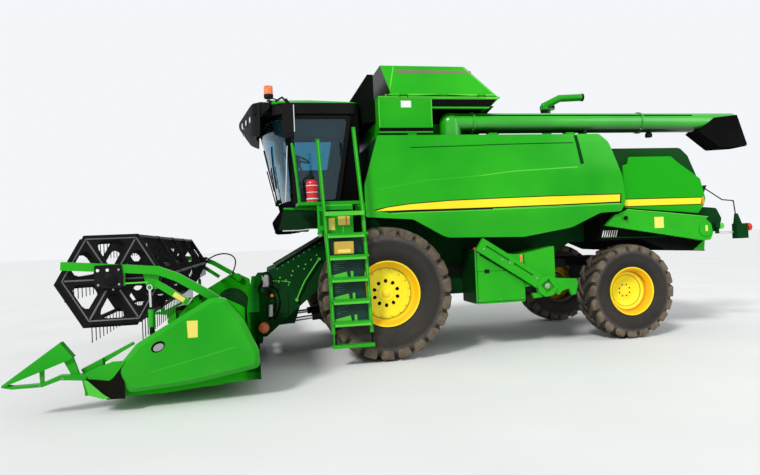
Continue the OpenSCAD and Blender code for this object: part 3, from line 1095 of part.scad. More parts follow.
// Reel cylinders between the header's end walls and the reel arms
reel_lift_length = norm(reel_rod_pin - reel_barrel_pin);
reel_lift_angle = atan2(reel_rod_pin[1] - reel_barrel_pin[1], reel_rod_pin[0] - reel_barrel_pin[0]);
module reel_lift_line() both_sides() translate([reel_barrel_pin[0], arm_y, reel_barrel_pin[1]])
  rotate([0, -reel_lift_angle, 0]) children();
module reel_cylinder_barrels() color(black) in_frame() reel_lift_line() difference() {
  union() {
    rotate([90, 0, 0]) cylinder(h = 36, r = 26, center = true, $fn = 48);
    translate([10, 0, 0]) rotate([0, 90, 0]) cylinder(h = 390, r = 26, $fn = 48);
  }
  rotate([90, 0, 0]) cylinder(h = 60, r = 14 + pin_play, center = true, $fn = 48);
  translate([50, 0, 0]) rotate([0, 90, 0]) cylinder(h = 420, r = 14 + pin_play, $fn = 48);
}
module reel_cylinder_rods() color(steel) in_frame() reel_lift_line() difference() {
  union() {
    translate([212, 0, 0]) rotate([0, 90, 0]) cylinder(h = reel_lift_length - 212 - 20, r = 14, $fn = 48);
    translate([reel_lift_length, 0, 0]) rotate([90, 0, 0]) cylinder(h = 24, r = 10 + 8 + 12, center = true, $fn = 48);
  }
  translate([reel_lift_length, 0, 0]) rotate([90, 0, 0]) cylinder(h = 40, r = 10 + 8, center = true, $fn = 48);
}

front_axle();
main_frame();
separator_body();
grain_tank();
tank_screen();
rear_hood();
straw_chopper();
chopper_covers();
engine_block();
engine_deck();
cab_shell();
cab_roof();
cab_visor();
cab_glass();
driver_seat();
steering_console();
platform();
fire_extinguisher();
mirrors();
beacon();
work_lamps();
service_boxes();
slotted_beam();
rear_axle();
tail_frame();
cab_door();
cab_door_glass();
access_ladder();
tank_lid_left();
tank_lid_right();
left_side_panel();
right_side_panel();
unloading_auger();
auger_spout();
front_tyre_left();
front_rim_left();
front_tyre_right();
front_rim_right();
steering_knuckle_left();
steering_knuckle_right();
rear_tyre_left();
rear_rim_left();
rear_tyre_right();
rear_rim_right();
feeder_house();
header_frame();
end_shields();
crop_dividers();
cutter_bar();
intake_auger();
reel_arms();
reel();
lift_barrels();
lift_rods();
reel_cylinder_barrels();
reel_cylinder_rods();
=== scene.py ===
import json
from math import cos, pi, radians, sin, tan

import bpy
from mathutils import Matrix, Vector


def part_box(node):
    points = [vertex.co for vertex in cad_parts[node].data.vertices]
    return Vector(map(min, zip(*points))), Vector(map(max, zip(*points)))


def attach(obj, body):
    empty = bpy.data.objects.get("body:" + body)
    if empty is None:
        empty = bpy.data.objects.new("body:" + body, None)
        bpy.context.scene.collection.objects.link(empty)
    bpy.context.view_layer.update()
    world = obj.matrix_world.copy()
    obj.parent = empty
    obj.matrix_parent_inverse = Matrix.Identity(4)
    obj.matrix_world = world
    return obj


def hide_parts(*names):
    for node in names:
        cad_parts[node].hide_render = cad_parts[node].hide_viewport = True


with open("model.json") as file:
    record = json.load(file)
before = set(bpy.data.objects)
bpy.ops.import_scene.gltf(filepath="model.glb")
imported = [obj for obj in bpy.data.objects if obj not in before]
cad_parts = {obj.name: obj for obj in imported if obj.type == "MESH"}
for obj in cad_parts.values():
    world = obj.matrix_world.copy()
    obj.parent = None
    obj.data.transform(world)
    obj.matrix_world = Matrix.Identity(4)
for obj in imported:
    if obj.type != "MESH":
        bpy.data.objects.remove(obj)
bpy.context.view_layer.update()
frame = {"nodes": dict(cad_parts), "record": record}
nodes = frame["nodes"]

# Driving places in metres: stations run from the front axle, heights from the ground, widths from the middle
AXLE = 0.98  # where the front axle stands in the frame
WHEELBASE = 3.67
PANEL_Y = 1.42
HOOD_Y = 1.29
SIDE_Y = 1.350  # the tank, the service boxes and the rear covers
FEEDER_Y = 0.670
SHIELD_Y = 2.940
DIVIDER_Y = 2.925
ARM_CAP_Y = 2.766  # the outer face of the reel's bearing blocks
REEL_AXIS = (3.090, 1.300)
REEL_HOSE = 0.024  # outside diameter
BEACON = (1.41, 0.86)
EXTINGUISHER = (0.93, 1.46)
EXHAUST_Y = 0.48
TUBE_AXIS = (1.15, 3.16)  # the unloading tube, across and up
CAB_FLOOR = 2.1195
FIRST_STEP, STEP_PITCH = 0.550, 0.278
STEP_FRONT_Y = 1.6895


def station(x):
    """A station measured from the front axle, in the machine's own frame."""
    return x + AXLE


def at(x, y, z):
    return (station(x), y, z)


def band(x0, x1, z0, z1):
    return [(x0, z0), (x1, z0), (x1, z1), (x0, z1)]


def side_range(sign, near, far):
    """The range between two widths on one side of the machine, the lower first."""
    return sorted((sign * near, sign * far))


def each_side(make):
    """Makes the same piece on the left and, mirrored, on the right."""
    for side, sign in (("left", 1.0), ("right", -1.0)):
        make(side, sign)


# ---------------------------------------------------------------- finishes

def new_group(name, inputs, outputs):
    """An empty shader group with float inputs (name, value) and outputs (name, kind)."""
    group = bpy.data.node_groups.new(name, "ShaderNodeTree")
    for label, value in inputs:
        socket = group.interface.new_socket(label, in_out="INPUT", socket_type="NodeSocketFloat")
        socket.default_value = value
    for label, kind in outputs:
        group.interface.new_socket(label, in_out="OUTPUT", socket_type=kind)
    return group, group.nodes.new("NodeGroupInput"), group.nodes.new("NodeGroupOutput")


def math_node(tree, operation, a, b=None, clamp=False):
    node = tree.nodes.new("ShaderNodeMath")
    node.operation, node.use_clamp = operation, clamp
    for socket, value in zip(node.inputs, (a, b)):
        if value is None:
            continue
        if isinstance(value, (int, float)):
            socket.default_value = value
        else:
            tree.links.new(value, socket)
    return node.outputs[0]


def noise(tree, vector, scale, detail=3.0, roughness=0.55):
    node = tree.nodes.new("ShaderNodeTexNoise")
    node.inputs["Scale"].default_value = scale
    node.inputs["Detail"].default_value = detail
    node.inputs["Roughness"].default_value = roughness
    tree.links.new(vector, node.inputs["Vector"])
    return node.outputs["Fac"]


def span(tree, value, low, high, to_low=0.0, to_high=1.0):
    """A value brought from low..high to to_low..to_high, held at both ends."""
    node = tree.nodes.new("ShaderNodeMapRange")
    node.inputs["From Min"].default_value = low
    node.inputs["From Max"].default_value = high
    node.inputs["To Min"].default_value = to_low
    node.inputs["To Max"].default_value = to_high
    tree.links.new(value, node.inputs["Value"])
    return node.outputs["Result"]


def make_field_dust():
    """Straw-coloured dust: thick near the ground and on ledges, thin and patchy above."""
    group, gin, gout = new_group("field_dust", [("Amount", 0.5), ("Reach", 1.6)], [("Mask", "NodeSocketFloat")])
    where = group.nodes.new("ShaderNodeTexCoord").outputs["Object"]
    split = group.nodes.new("ShaderNodeSeparateXYZ")
    group.links.new(where, split.inputs[0])
    low = group.nodes.new("ShaderNodeMapRange")
    low.inputs["To Min"].default_value = 1.0
    low.inputs["To Max"].default_value = 0.12
    group.links.new(split.outputs["Z"], low.inputs["Value"])
    group.links.new(gin.outputs["Reach"], low.inputs["From Max"])
    normal = group.nodes.new("ShaderNodeNewGeometry")
    facing = group.nodes.new("ShaderNodeSeparateXYZ")
    group.links.new(normal.outputs["Normal"], facing.inputs[0])
    ledge = span(group, facing.outputs["Z"], 0.3, 1.0, 0.0, 0.35)
    patches = span(group, noise(group, where, 2.3, 4.0, 0.6), 0.35, 0.7)
    grains = span(group, noise(group, where, 46.0, 2.0, 0.7), 0.3, 0.75)
    spread = math_node(group, "ADD", low.outputs["Result"], ledge)
    mixed = math_node(group, "MULTIPLY", spread,
                      math_node(group, "ADD", math_node(group, "MULTIPLY", patches, 0.6), 0.25))
    mixed = math_node(group, "MULTIPLY", mixed,
                      math_node(group, "ADD", math_node(group, "MULTIPLY", grains, 0.7), 0.4))
    group.links.new(math_node(group, "MULTIPLY", mixed, gin.outputs["Amount"], clamp=True), gout.inputs["Mask"])
    return group


def make_sprayed_coat():
    """The faint unevenness of sprayed enamel, and a slow drift of its tone."""
    group, gin, gout = new_group("sprayed_coat", [("Scale", 90.0)],
                                 [("Height", "NodeSocketFloat"), ("Tone", "NodeSocketFloat")])
    where = group.nodes.new("ShaderNodeTexCoord").outputs["Object"]
    peel = group.nodes.new("ShaderNodeTexNoise")
    peel.inputs["Detail"].default_value = 2.0
    group.links.new(where, peel.inputs["Vector"])
    group.links.new(gin.outputs["Scale"], peel.inputs["Scale"])
    group.links.new(peel.outputs["Fac"], gout.inputs["Height"])
    group.links.new(noise(group, where, 0.9, 2.0), gout.inputs["Tone"])
    return group


def make_scuffs():
    """Fine scuffs and chips, denser where the pattern is finer."""
    group, gin, gout = new_group("scuffs", [("Amount", 0.3), ("Scale", 14.0)], [("Mask", "NodeSocketFloat")])
    where = group.nodes.new("ShaderNodeTexCoord").outputs["Object"]
    stretch = group.nodes.new("ShaderNodeMapping")
    stretch.inputs["Scale"].default_value = (1.0, 1.0, 4.0)
    group.links.new(where, stretch.inputs["Vector"])
    spots = group.nodes.new("ShaderNodeTexNoise")
    spots.inputs["Detail"].default_value = 6.0
    spots.inputs["Roughness"].default_value = 0.75
    group.links.new(stretch.outputs["Vector"], spots.inputs["Vector"])
    group.links.new(gin.outputs["Scale"], spots.inputs["Scale"])
    cut = span(group, spots.outputs["Fac"], 0.62, 0.72)
    group.links.new(math_node(group, "MULTIPLY", cut, gin.outputs["Amount"], clamp=True), gout.inputs["Mask"])
    return group


FIELD_DUST = make_field_dust()
SPRAYED_COAT = make_sprayed_coat()
SCUFFS = make_scuffs()
STRAW_DUST = (0.42, 0.34, 0.22)


def make_ring_mask():
    """A soft ring round a wheel's axis, between two radii, broken up by noise."""
    group, gin, gout = new_group("ring_round_axis",
                                 [("Axis X", 0.0), ("Axis Z", 0.0), ("Inner", 0.3), ("Outer", 0.5),
                                  ("Edge", 0.03), ("Breakup", 0.5)], [("Mask", "NodeSocketFloat")])
    where = group.nodes.new("ShaderNodeTexCoord").outputs["Object"]
    split = group.nodes.new("ShaderNodeSeparateXYZ")
    group.links.new(where, split.inputs[0])
    across = math_node(group, "SUBTRACT", split.outputs["X"], gin.outputs["Axis X"])
    upward = math_node(group, "SUBTRACT", split.outputs["Z"], gin.outputs["Axis Z"])
    radius = math_node(group, "SQRT", math_node(group, "ADD", math_node(group, "POWER", across, 2.0),
                                                math_node(group, "POWER", upward, 2.0)))
    inside = math_node(group, "DIVIDE", math_node(group, "SUBTRACT", radius, gin.outputs["Inner"]),
                       gin.outputs["Edge"], clamp=True)
    outside = math_node(group, "DIVIDE", math_node(group, "SUBTRACT", gin.outputs["Outer"], radius),
                        gin.outputs["Edge"], clamp=True)
    patches = span(group, noise(group, where, 9.0, 4.0, 0.65), 0.3, 0.7)
    kept = math_node(group, "SUBTRACT", 1.0,
                     math_node(group, "MULTIPLY", math_node(group, "SUBTRACT", 1.0, patches),
                               gin.outputs["Breakup"]))
    ring = math_node(group, "MULTIPLY", math_node(group, "MULTIPLY", inside, outside), kept, clamp=True)
    group.links.new(ring, gout.inputs["Mask"])
    return group


RING_MASK = make_ring_mask()


def place_group(tree, group, **values):
    node = tree.nodes.new("ShaderNodeGroup")
    node.node_tree = group
    for label, value in values.items():
        node.inputs[label].default_value = value
    return node


def mix_colour(tree, factor, a, b, blend="MIX"):
    node = tree.nodes.new("ShaderNodeMix")
    node.data_type, node.blend_type = "RGBA", blend
    if isinstance(factor, (int, float)):
        node.inputs["Factor"].default_value = factor
    else:
        tree.links.new(factor, node.inputs["Factor"])
    for socket, value in ((node.inputs[6], a), (node.inputs[7], b)):
        if isinstance(value, tuple):
            socket.default_value = (*value, 1.0)
        else:
            tree.links.new(value, socket)
    return node.outputs[2]


def finish_material(name, colour, tone, roughness, dust=0.3, reach=1.6, wear=0.1,
                    wear_colour=(0.25, 0.24, 0.22), coat=0.0, metallic=0.0, bump=0.02, peel=90.0,
                    dust_roughness=0.85, sheen=0.5):
    """A sprayed, moulded or bare surface: its colour with a slow drift to tone, scuffs, dust and a fine bump."""
    material = bpy.data.materials.new(name)
    material.use_nodes = True
    tree = material.node_tree
    shader = tree.nodes["Principled BSDF"]
    spray = place_group(tree, SPRAYED_COAT, Scale=peel)
    film = place_group(tree, FIELD_DUST, Amount=dust, Reach=reach)
    worn = place_group(tree, SCUFFS, Amount=wear)
    base = mix_colour(tree, span(tree, spray.outputs["Tone"], 0.3, 0.7), colour, tone)
    base = mix_colour(tree, worn.outputs["Mask"], base, wear_colour)
    base = mix_colour(tree, film.outputs["Mask"], base, STRAW_DUST)
    tree.links.new(base, shader.inputs["Base Color"])
    rough = span(tree, film.outputs["Mask"], 0.0, 0.6, roughness, dust_roughness)
    tree.links.new(rough, shader.inputs["Roughness"])
    relief = tree.nodes.new("ShaderNodeBump")
    relief.inputs["Strength"].default_value = 0.25
    relief.inputs["Distance"].default_value = bump * 0.1
    tree.links.new(spray.outputs["Height"], relief.inputs["Height"])
    tree.links.new(relief.outputs["Normal"], shader.inputs["Normal"])
    shader.inputs["Coat Weight"].default_value = coat
    shader.inputs["Coat Roughness"].default_value = 0.08
    shader.inputs["Metallic"].default_value = metallic
    shader.inputs["Specular IOR Level"].default_value = sheen
    return material


def add_ring(material, colour, axis, inner, outer, edge=0.03, breakup=0.5, amount=1.0):
    """Lays a ring of another colour over a finished material, round the axis (x, z) of a wheel."""
    tree = material.node_tree
    base = tree.nodes["Principled BSDF"].inputs["Base Color"]
    under = base.links[0].from_socket
    ring = place_group(tree, RING_MASK,
                       **{"Axis X": axis[0], "Axis Z": axis[1], "Inner": inner, "Outer": outer, "Edge": edge,
                          "Breakup": breakup})
    over = mix_colour(tree, math_node(tree, "MULTIPLY", ring.outputs["Mask"], amount), under, colour)
    tree.links.new(over, base)
    return material


def tone_beyond(material, reach, low, high, colour, amount=1.0):
    """Turns a finished material to another colour from low to high along X, Y or Z, along |Y| as "W", or on faces
    that look down as "under" or forward as "ahead". Where high is the smaller, the colour lies below it."""
    tree = material.node_tree
    base = tree.nodes["Principled BSDF"].inputs["Base Color"]
    source = tree.nodes.new("ShaderNodeSeparateXYZ")
    if reach in ("under", "ahead"):
        tree.links.new(tree.nodes.new("ShaderNodeNewGeometry").outputs["Normal"], source.inputs[0])
        value = source.outputs["Z" if reach == "under" else "X"]
    else:
        tree.links.new(tree.nodes.new("ShaderNodeTexCoord").outputs["Object"], source.inputs[0])
        value = source.outputs["Y" if reach == "W" else reach]
        if reach == "W":
            value = math_node(tree, "ABSOLUTE", value)
    mask = span(tree, value, low, high, 0.0, amount) if low < high else span(tree, value, high, low, amount,
            0.0)
    tree.links.new(mix_colour(tree, mask, base.links[0].from_socket, colour), base)
    return material


GREEN_TONES = ((0.004, 0.30, 0.004), (0.022, 0.42, 0.008))
DARK_TONES = ((0.003, 0.003, 0.0035), (0.006, 0.006, 0.007))
ORANGE_TONES = ((0.85, 0.13, 0.01), (0.95, 0.20, 0.02))


def green_enamel(name, coat=0.06, sheen=0.16):
    return finish_material(name, *GREEN_TONES, 0.3, dust=0.06, reach=0.9, wear=0.02, coat=coat, sheen=sheen)


GREEN = green_enamel("green_enamel")
# Deep green enamel, also laid as painted shade in the side panels' pressed hollow
DEEP_GREEN = finish_material("deep_green_enamel_and_shade", (0.0015, 0.030, 0.006), (0.003, 0.050, 0.009), 0.7, dust=0.04,
                             reach=1.4, wear=0.04, sheen=0.05)
YELLOW = finish_material("yellow_enamel", (0.88, 0.66, 0.010), (0.95, 0.78, 0.02), 0.36, dust=0.1, reach=1.2,
                         wear=0.06, sheen=0.3)
FRAME_PAINT = finish_material("frame_enamel", (0.002, 0.012, 0.004), (0.004, 0.020, 0.007), 0.6, dust=0.12,
                              reach=1.4, wear=0.1, sheen=0.1)
BLACK = finish_material("black_enamel", *DARK_TONES, 0.5, dust=0.03, reach=1.0, wear=0.03, sheen=0.09)
BLACK_PLASTIC = finish_material("black_plastic", (0.004, 0.004, 0.0045), (0.008, 0.008, 0.009), 0.6, dust=0.03,
                                reach=1.0, wear=0.02, bump=0.06, peel=260.0, sheen=0.10)
RED = finish_material("red_enamel", (0.55, 0.006, 0.014), (0.66, 0.012, 0.02), 0.24, dust=0.06, wear=0.04,
                      coat=0.3)
RUBBER = finish_material("tyre_rubber", (0.020, 0.019, 0.018), (0.034, 0.031, 0.028), 0.72, dust=0.4, reach=2.0,
                         wear=0.1, wear_colour=(0.12, 0.10, 0.08), bump=0.15, peel=140.0, sheen=0.2)
SPOUT_RUBBER = finish_material("spout_rubber", (0.003, 0.003, 0.003), (0.007, 0.007, 0.007), 0.9, dust=0.02,
                               bump=0.1, peel=180.0, sheen=0.0)
MATT_BLACK = finish_material("matt_black", (0.003, 0.004, 0.003), (0.006, 0.008, 0.006), 0.9, dust=0.03,
                             reach=1.2, wear=0.04, sheen=0.0)
BACK_PLATE = finish_material("back_plate_enamel", (0.002, 0.030, 0.022), (0.004, 0.050, 0.034), 0.5, dust=0.05,
                             wear=0.1, sheen=0.2)
STEEL = finish_material("bare_steel", (0.36, 0.36, 0.37), (0.46, 0.45, 0.44), 0.38, dust=0.4, reach=1.4,
                        wear=0.4, wear_colour=(0.24, 0.13, 0.07), metallic=0.9)
CHROME = finish_material("chromed_steel", (0.72, 0.72, 0.74), (0.78, 0.78, 0.8), 0.12, dust=0.1, wear=0.05,
                         metallic=1.0)
# Near black laid where there is only shade: painted shade in notches, grooves, holes, gaps and recesses
SHADE_BLACK = finish_material("painted_shade_black", (0.002, 0.002, 0.002), (0.004, 0.004, 0.004), 0.8, dust=0.0, wear=0.0,
                       sheen=0.05)
NOSE_GREEN = finish_material("nose_enamel", (0.001, 0.022, 0.006), (0.002, 0.035, 0.008), 0.5, dust=0.03,
                             wear=0.03, coat=0.02, sheen=0.08)
# White for lamps, also laid as a painted highlight down the cab's pillars
LAMP_WHITE = finish_material("lamp_reflector_and_highlight_white", (0.80, 0.82, 0.84), (0.70, 0.72, 0.75), 0.15, dust=0.1, wear=0.0,
                             coat=0.8)
BLANK_YELLOW = finish_material("blank_label", (0.80, 0.66, 0.10), (0.86, 0.72, 0.14), 0.4, dust=0.15, wear=0.1)
BLANK_WHITE = finish_material("blank_plate", (0.72, 0.74, 0.72), (0.80, 0.82, 0.80), 0.4, dust=0.15, wear=0.08)
OCHRE = finish_material("ochre_box", (0.50, 0.33, 0.03), (0.62, 0.42, 0.05), 0.5, dust=0.3, wear=0.25)
# Light green enamel, also laid as painted highlight along the side panels' ridge and the ladder's stringers
PALE_GREEN = finish_material("light_green_enamel_and_highlight", (0.05, 0.50, 0.015), (0.10, 0.60, 0.025), 0.28, dust=0.06,
                             wear=0.03, coat=0.3, sheen=0.4)
ORANGE = finish_material("orange_reflector", *ORANGE_TONES, 0.2, dust=0.08, wear=0.0, coat=1.0, peel=900.0,
                         bump=0.3)
WOVEN = finish_material("woven_cover", (0.02, 0.02, 0.022), (0.04, 0.04, 0.044), 0.85, dust=0.1, wear=0.05,
                        bump=0.3, peel=400.0)
# Painted highlight along the pressed creases of the side panels and end shields
CREASE_HIGHLIGHT = finish_material("crease_highlight_green", (0.03, 0.44, 0.012), (0.05, 0.52, 0.018), 0.3, dust=0.05,
                              coat=0.1, sheen=0.2)
RISER_LIGHT = finish_material("riser_light_enamel", (0.03, 0.20, 0.15), (0.05, 0.30, 0.22), 0.5, dust=0.05,
                              sheen=0.3)
# A grey-brown strip laid near the top of the lids
LID_STRIP = finish_material("grey_brown_lid_strip", (0.13, 0.11, 0.06), (0.20, 0.16, 0.10), 0.7, dust=0.3, wear=0.3)
# Orange-brown for the rear rims' rolled beads: painted shade on them
RIM_SHADE = finish_material("rim_bead_painted_shade", (0.70, 0.36, 0.006), (0.80, 0.46, 0.01), 0.4, dust=0.1,
                            sheen=0.3)
LENS_GREY = finish_material("grey_lens", (0.25, 0.26, 0.26), (0.36, 0.37, 0.37), 0.2, dust=0.1, wear=0.0,
                            coat=0.5)
# Black ribs whose pale tone and pale wear stand in for the sun's glint on their edges: painted highlight over
# real gloss
RIB = finish_material("black_edge_and_painted_glint", (0.015, 0.015, 0.016), (0.13, 0.13, 0.135), 0.3, dust=0.2, wear=0.3,
                      wear_colour=(0.4, 0.4, 0.4), sheen=0.5)
CAB_BLACK = finish_material("cab_enamel", *DARK_TONES, 0.6, dust=0.03, reach=1.0, wear=0.03, sheen=0.0)


def glass_material(name, colour, roughness=0.03, weight=1.0):
    """Clear or coloured glass under a thin film of dust."""
    material = bpy.data.materials.new(name)
    material.use_nodes = True
    tree = material.node_tree
    shader = tree.nodes["Principled BSDF"]
    film = place_group(tree, FIELD_DUST, Amount=0.10, Reach=3.0)
    tree.links.new(mix_colour(tree, film.outputs["Mask"], colour, STRAW_DUST), shader.inputs["Base Color"])
    tree.links.new(span(tree, film.outputs["Mask"], 0.0, 1.0, roughness, 0.4), shader.inputs["Roughness"])
    shader.inputs["Transmission Weight"].default_value = weight
    shader.inputs["IOR"].default_value = 1.45
    return material


GLASS = glass_material("tinted_glass", (0.15, 0.42, 0.55), weight=0.97)
LAMP_GLASS = glass_material("lamp_glass", (0.86, 0.88, 0.9), 0.08, 0.6)
AMBER = glass_material("amber_lens", (0.92, 0.26, 0.01), 0.12, 0.35)
RED_LENS = glass_material("red_lens", (0.72, 0.02, 0.01), 0.12, 0.3)

FINISH_OF_SLOT = {
    "green_paint": GREEN, "dark_green_paint": DEEP_GREEN, "yellow_paint": YELLOW, "frame_paint": FRAME_PAINT,
    "black_paint": BLACK, "red_paint": RED, "black_plastic": BLACK_PLASTIC, "amber_lens": AMBER,
    "lamp_lens": LAMP_GLASS, "tinted_glass": GLASS, "seat_fabric": WOVEN, "black_rubber": SPOUT_RUBBER,
    "tyre": RUBBER, "bare_steel": STEEL, "chromed_rod": CHROME,
}
# The slot that goes with each finish, looked up where a piece names none of its own
USUAL_SLOT = {finish.name: slot for slot, finishes in {
    "green_paint": (GREEN, PALE_GREEN, CREASE_HIGHLIGHT, RISER_LIGHT, LID_STRIP),
    "dark_green_paint": (DEEP_GREEN, BACK_PLATE, NOSE_GREEN),
    "yellow_paint": (YELLOW, BLANK_YELLOW, OCHRE, RIM_SHADE),
    "black_paint": (BLACK, RIB),
    "red_paint": (RED,),
    "black_plastic": (BLACK_PLASTIC, MATT_BLACK, SHADE_BLACK),
    "black_rubber": (SPOUT_RUBBER,),
    "bare_steel": (STEEL, BLANK_WHITE),
    "lamp_lens": (LAMP_WHITE, LENS_GREY),
    "amber_lens": (ORANGE, RED_LENS),
    "seat_fabric": (WOVEN,),
}.items() for finish in finishes}
for part in frame["record"]["subparts"]:
    for slot in nodes[part["node"]].material_slots:
        slot.material = FINISH_OF_SLOT[part["material_slot"]]


def raised_face_material(name, low, high, face_y):
    """Green in two tones: the raised side panel beyond face_y in bright green, and the body behind it darkened,
    which is painted shade.
    """
    material = finish_material(name, low, high, 0.55, dust=0.04, reach=1.2, wear=0.03, coat=0.02, sheen=0.06)
    tree = material.node_tree
    shader = tree.nodes["Principled BSDF"]
    split = tree.nodes.new("ShaderNodeSeparateXYZ")
    tree.links.new(tree.nodes.new("ShaderNodeTexCoord").outputs["Object"], split.inputs[0])
    beyond = span(tree, math_node(tree, "ABSOLUTE", split.outputs["Y"]), face_y, face_y + 0.002)
    under = shader.inputs["Base Color"].links[0].from_socket
    tree.links.new(mix_colour(tree, beyond, under, (0.010, 0.34, 0.006)), shader.inputs["Base Color"])
    return material


SHADE = DARK_TONES[0]
ROOF_GREEN = tone_beyond(green_enamel("roof_enamel"), "Z", 3.482, 3.476, SHADE)
LID_GREEN = tone_beyond(green_enamel("lid_enamel", 0.0, 0.1), "ahead", 0.4, 0.55, (0.004, 0.008, 0.005))
BEACON_ORANGE = finish_material("beacon_lens", *ORANGE_TONES, 0.2, dust=0.05, wear=0.0, coat=1.0)
OWN_FINISHES = {
    # the hood's body behind its raised panel is painted shade
    "rear_hood": raised_face_material("hood_green_and_painted_shade", (0.002, 0.035, 0.005), (0.004, 0.060, 0.007), 1.257),
    "work_lamps": LAMP_WHITE,
    # faces of the tank that look down turn near black: painted shade under its overhangs
    "grain_tank": tone_beyond(green_enamel("tank_enamel_and_painted_shade"), "under", -0.15, -0.3, (0.002, 0.003, 0.002)),
    "tank_lid_left": LID_GREEN,
    "tank_lid_right": LID_GREEN,
    "cab_shell": CAB_BLACK,
    "beacon": tone_beyond(BEACON_ORANGE, "Z", 3.606, 3.598, (0.004, 0.004, 0.0045)),
    "cab_roof": tone_beyond(ROOF_GREEN, "X", station(1.37), station(1.38), SHADE),
    # the tube darkens on faces that look down: painted shade under it
    "unloading_auger": tone_beyond(green_enamel("tube_enamel_and_painted_shade", 0.45, 0.4), "under", -0.15, -0.8,
                                   (0.002, 0.012, 0.003), 0.96),
    # the frame darkens towards its back, fully behind station 1.70: painted shade
    "header_frame": tone_beyond(green_enamel("header_frame_enamel_and_painted_shade", 0.0, 0.0), "X", station(1.86),
                                station(1.70), (0.002, 0.045, 0.006), 0.93),
    # the boxes' front face is darkened: painted shade
    "service_boxes": tone_beyond(green_enamel("box_enamel_and_painted_shade"), "X", station(-1.256), station(-1.254),
                                 (0.002, 0.030, 0.004)),
    "straw_chopper": MATT_BLACK,
    "tank_screen": MATT_BLACK,
}
for node_name, finish in OWN_FINISHES.items():
    nodes[node_name].material_slots[0].material = finish

# ---------------------------------------------------------------- making pieces

def let_go():
    """Leaves nothing selected, so that an operator acts only on what comes next."""
    if bpy.context.mode != "OBJECT":
        bpy.ops.object.mode_set(mode="OBJECT")
    bpy.ops.object.select_all(action="DESELECT")


def hand_over(piece, name, material, body, slot=None):
    """Settles a finished piece: its place goes into its mesh, and it rides on its body."""
    let_go()
    bpy.context.view_layer.objects.active = piece
    piece.select_set(True)
    for modifier in list(piece.modifiers):
        bpy.ops.object.modifier_apply(modifier=modifier.name)
    settle()
    piece.name = piece.data.name = name
    piece.data.materials.clear()
    piece.data.materials.append(material)
    slot = slot or USUAL_SLOT[material.name]
    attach(piece, body)
    piece.select_set(False)
    return piece


def open_mesh():
    """Opens the active piece's mesh with all of it selected."""
    bpy.ops.object.mode_set(mode="EDIT")
    bpy.ops.mesh.select_all(action="SELECT")


def close_mesh(weld=None):
    """Welds points closer than weld, turns all faces outward and closes the mesh."""
    bpy.ops.mesh.select_all(action="SELECT")
    if weld:
        bpy.ops.mesh.remove_doubles(threshold=weld)
    bpy.ops.mesh.normals_make_consistent(inside=False)
    bpy.ops.object.mode_set(mode="OBJECT")


def settle():
    """Puts the active piece's place and turn into its mesh."""
    bpy.ops.object.transform_apply(location=True, rotation=True, scale=True)


def bevel(piece, width, segments=2, angle=35):
    modifier = piece.modifiers.new("edge", "BEVEL")
    modifier.width, modifier.segments = width, segments
    modifier.limit_method = "ANGLE"
    modifier.angle_limit = radians(angle)


WELD = 0.00001


AXES = {"X": 0, "Y": 1, "Z": 2}
TURN_TO = {"X": (0, pi / 2, 0), "Y": (pi / 2, 0, 0), "Z": (0, 0, 0)}


def plate(name, outline, low, high, material, body, edge=0.0, slot=None):
    """A plate cut to an outline of stations and heights, and drawn out across from low to high."""
    let_go()
    bpy.ops.mesh.primitive_circle_add(vertices=len(outline), radius=1.0, fill_type="NGON")
    piece = bpy.context.object
    for vertex, (x, z) in zip(piece.data.vertices, outline):
        vertex.co = at(x, low, z)
    open_mesh()
    bpy.ops.mesh.extrude_region_move(TRANSFORM_OT_translate={"value": (0.0, high - low, 0.0)})
    close_mesh()
    if edge:
        bevel(piece, edge)
    return hand_over(piece, name, material, body, slot)


def slab(name, x, y, z, material, body, edge=0.004, slot=None):
    """A block with eased edges between two stations and its ranges across and up."""
    let_go()
    ranges = ([station(end) for end in x], y, z)
    bpy.ops.mesh.primitive_cube_add(size=1.0, location=[(a + b) / 2 for a, b in ranges])
    piece = bpy.context.object
    piece.scale = [b - a for a, b in ranges]
    bpy.ops.object.transform_apply(location=False, rotation=False, scale=True)
    bevel(piece, edge)
    return hand_over(piece, name, material, body, slot)


def turned(name, profile, centre, axis, material, body, steps=40, slot=None):
    """A turned piece: a ring drawn out through (radius, distance along the axis) rows and closed at both ends."""
    let_go()
    k = AXES[axis]
    start = list(centre)
    start[k] += profile[0][1]
    bpy.ops.mesh.primitive_circle_add(vertices=steps, radius=profile[0][0], location=start,
                                      rotation=TURN_TO[axis], fill_type="NGON")
    piece = bpy.context.object
    settle()
    open_mesh()
    place = Vector(start)
    for (r0, a0), (r1, a1) in zip(profile, profile[1:]):
        step = [0.0, 0.0, 0.0]
        step[k] = a1 - a0
        bpy.ops.mesh.extrude_region_move(TRANSFORM_OT_translate={"value": step})
        place = place + Vector(step)
        grow = [r1 / r0] * 3
        grow[k] = 1.0
        bpy.ops.transform.resize(value=grow, center_override=place)
    close_mesh(WELD)
    bpy.ops.object.shade_smooth_by_angle(angle=radians(35))
    return hand_over(piece, name, material, body, slot)


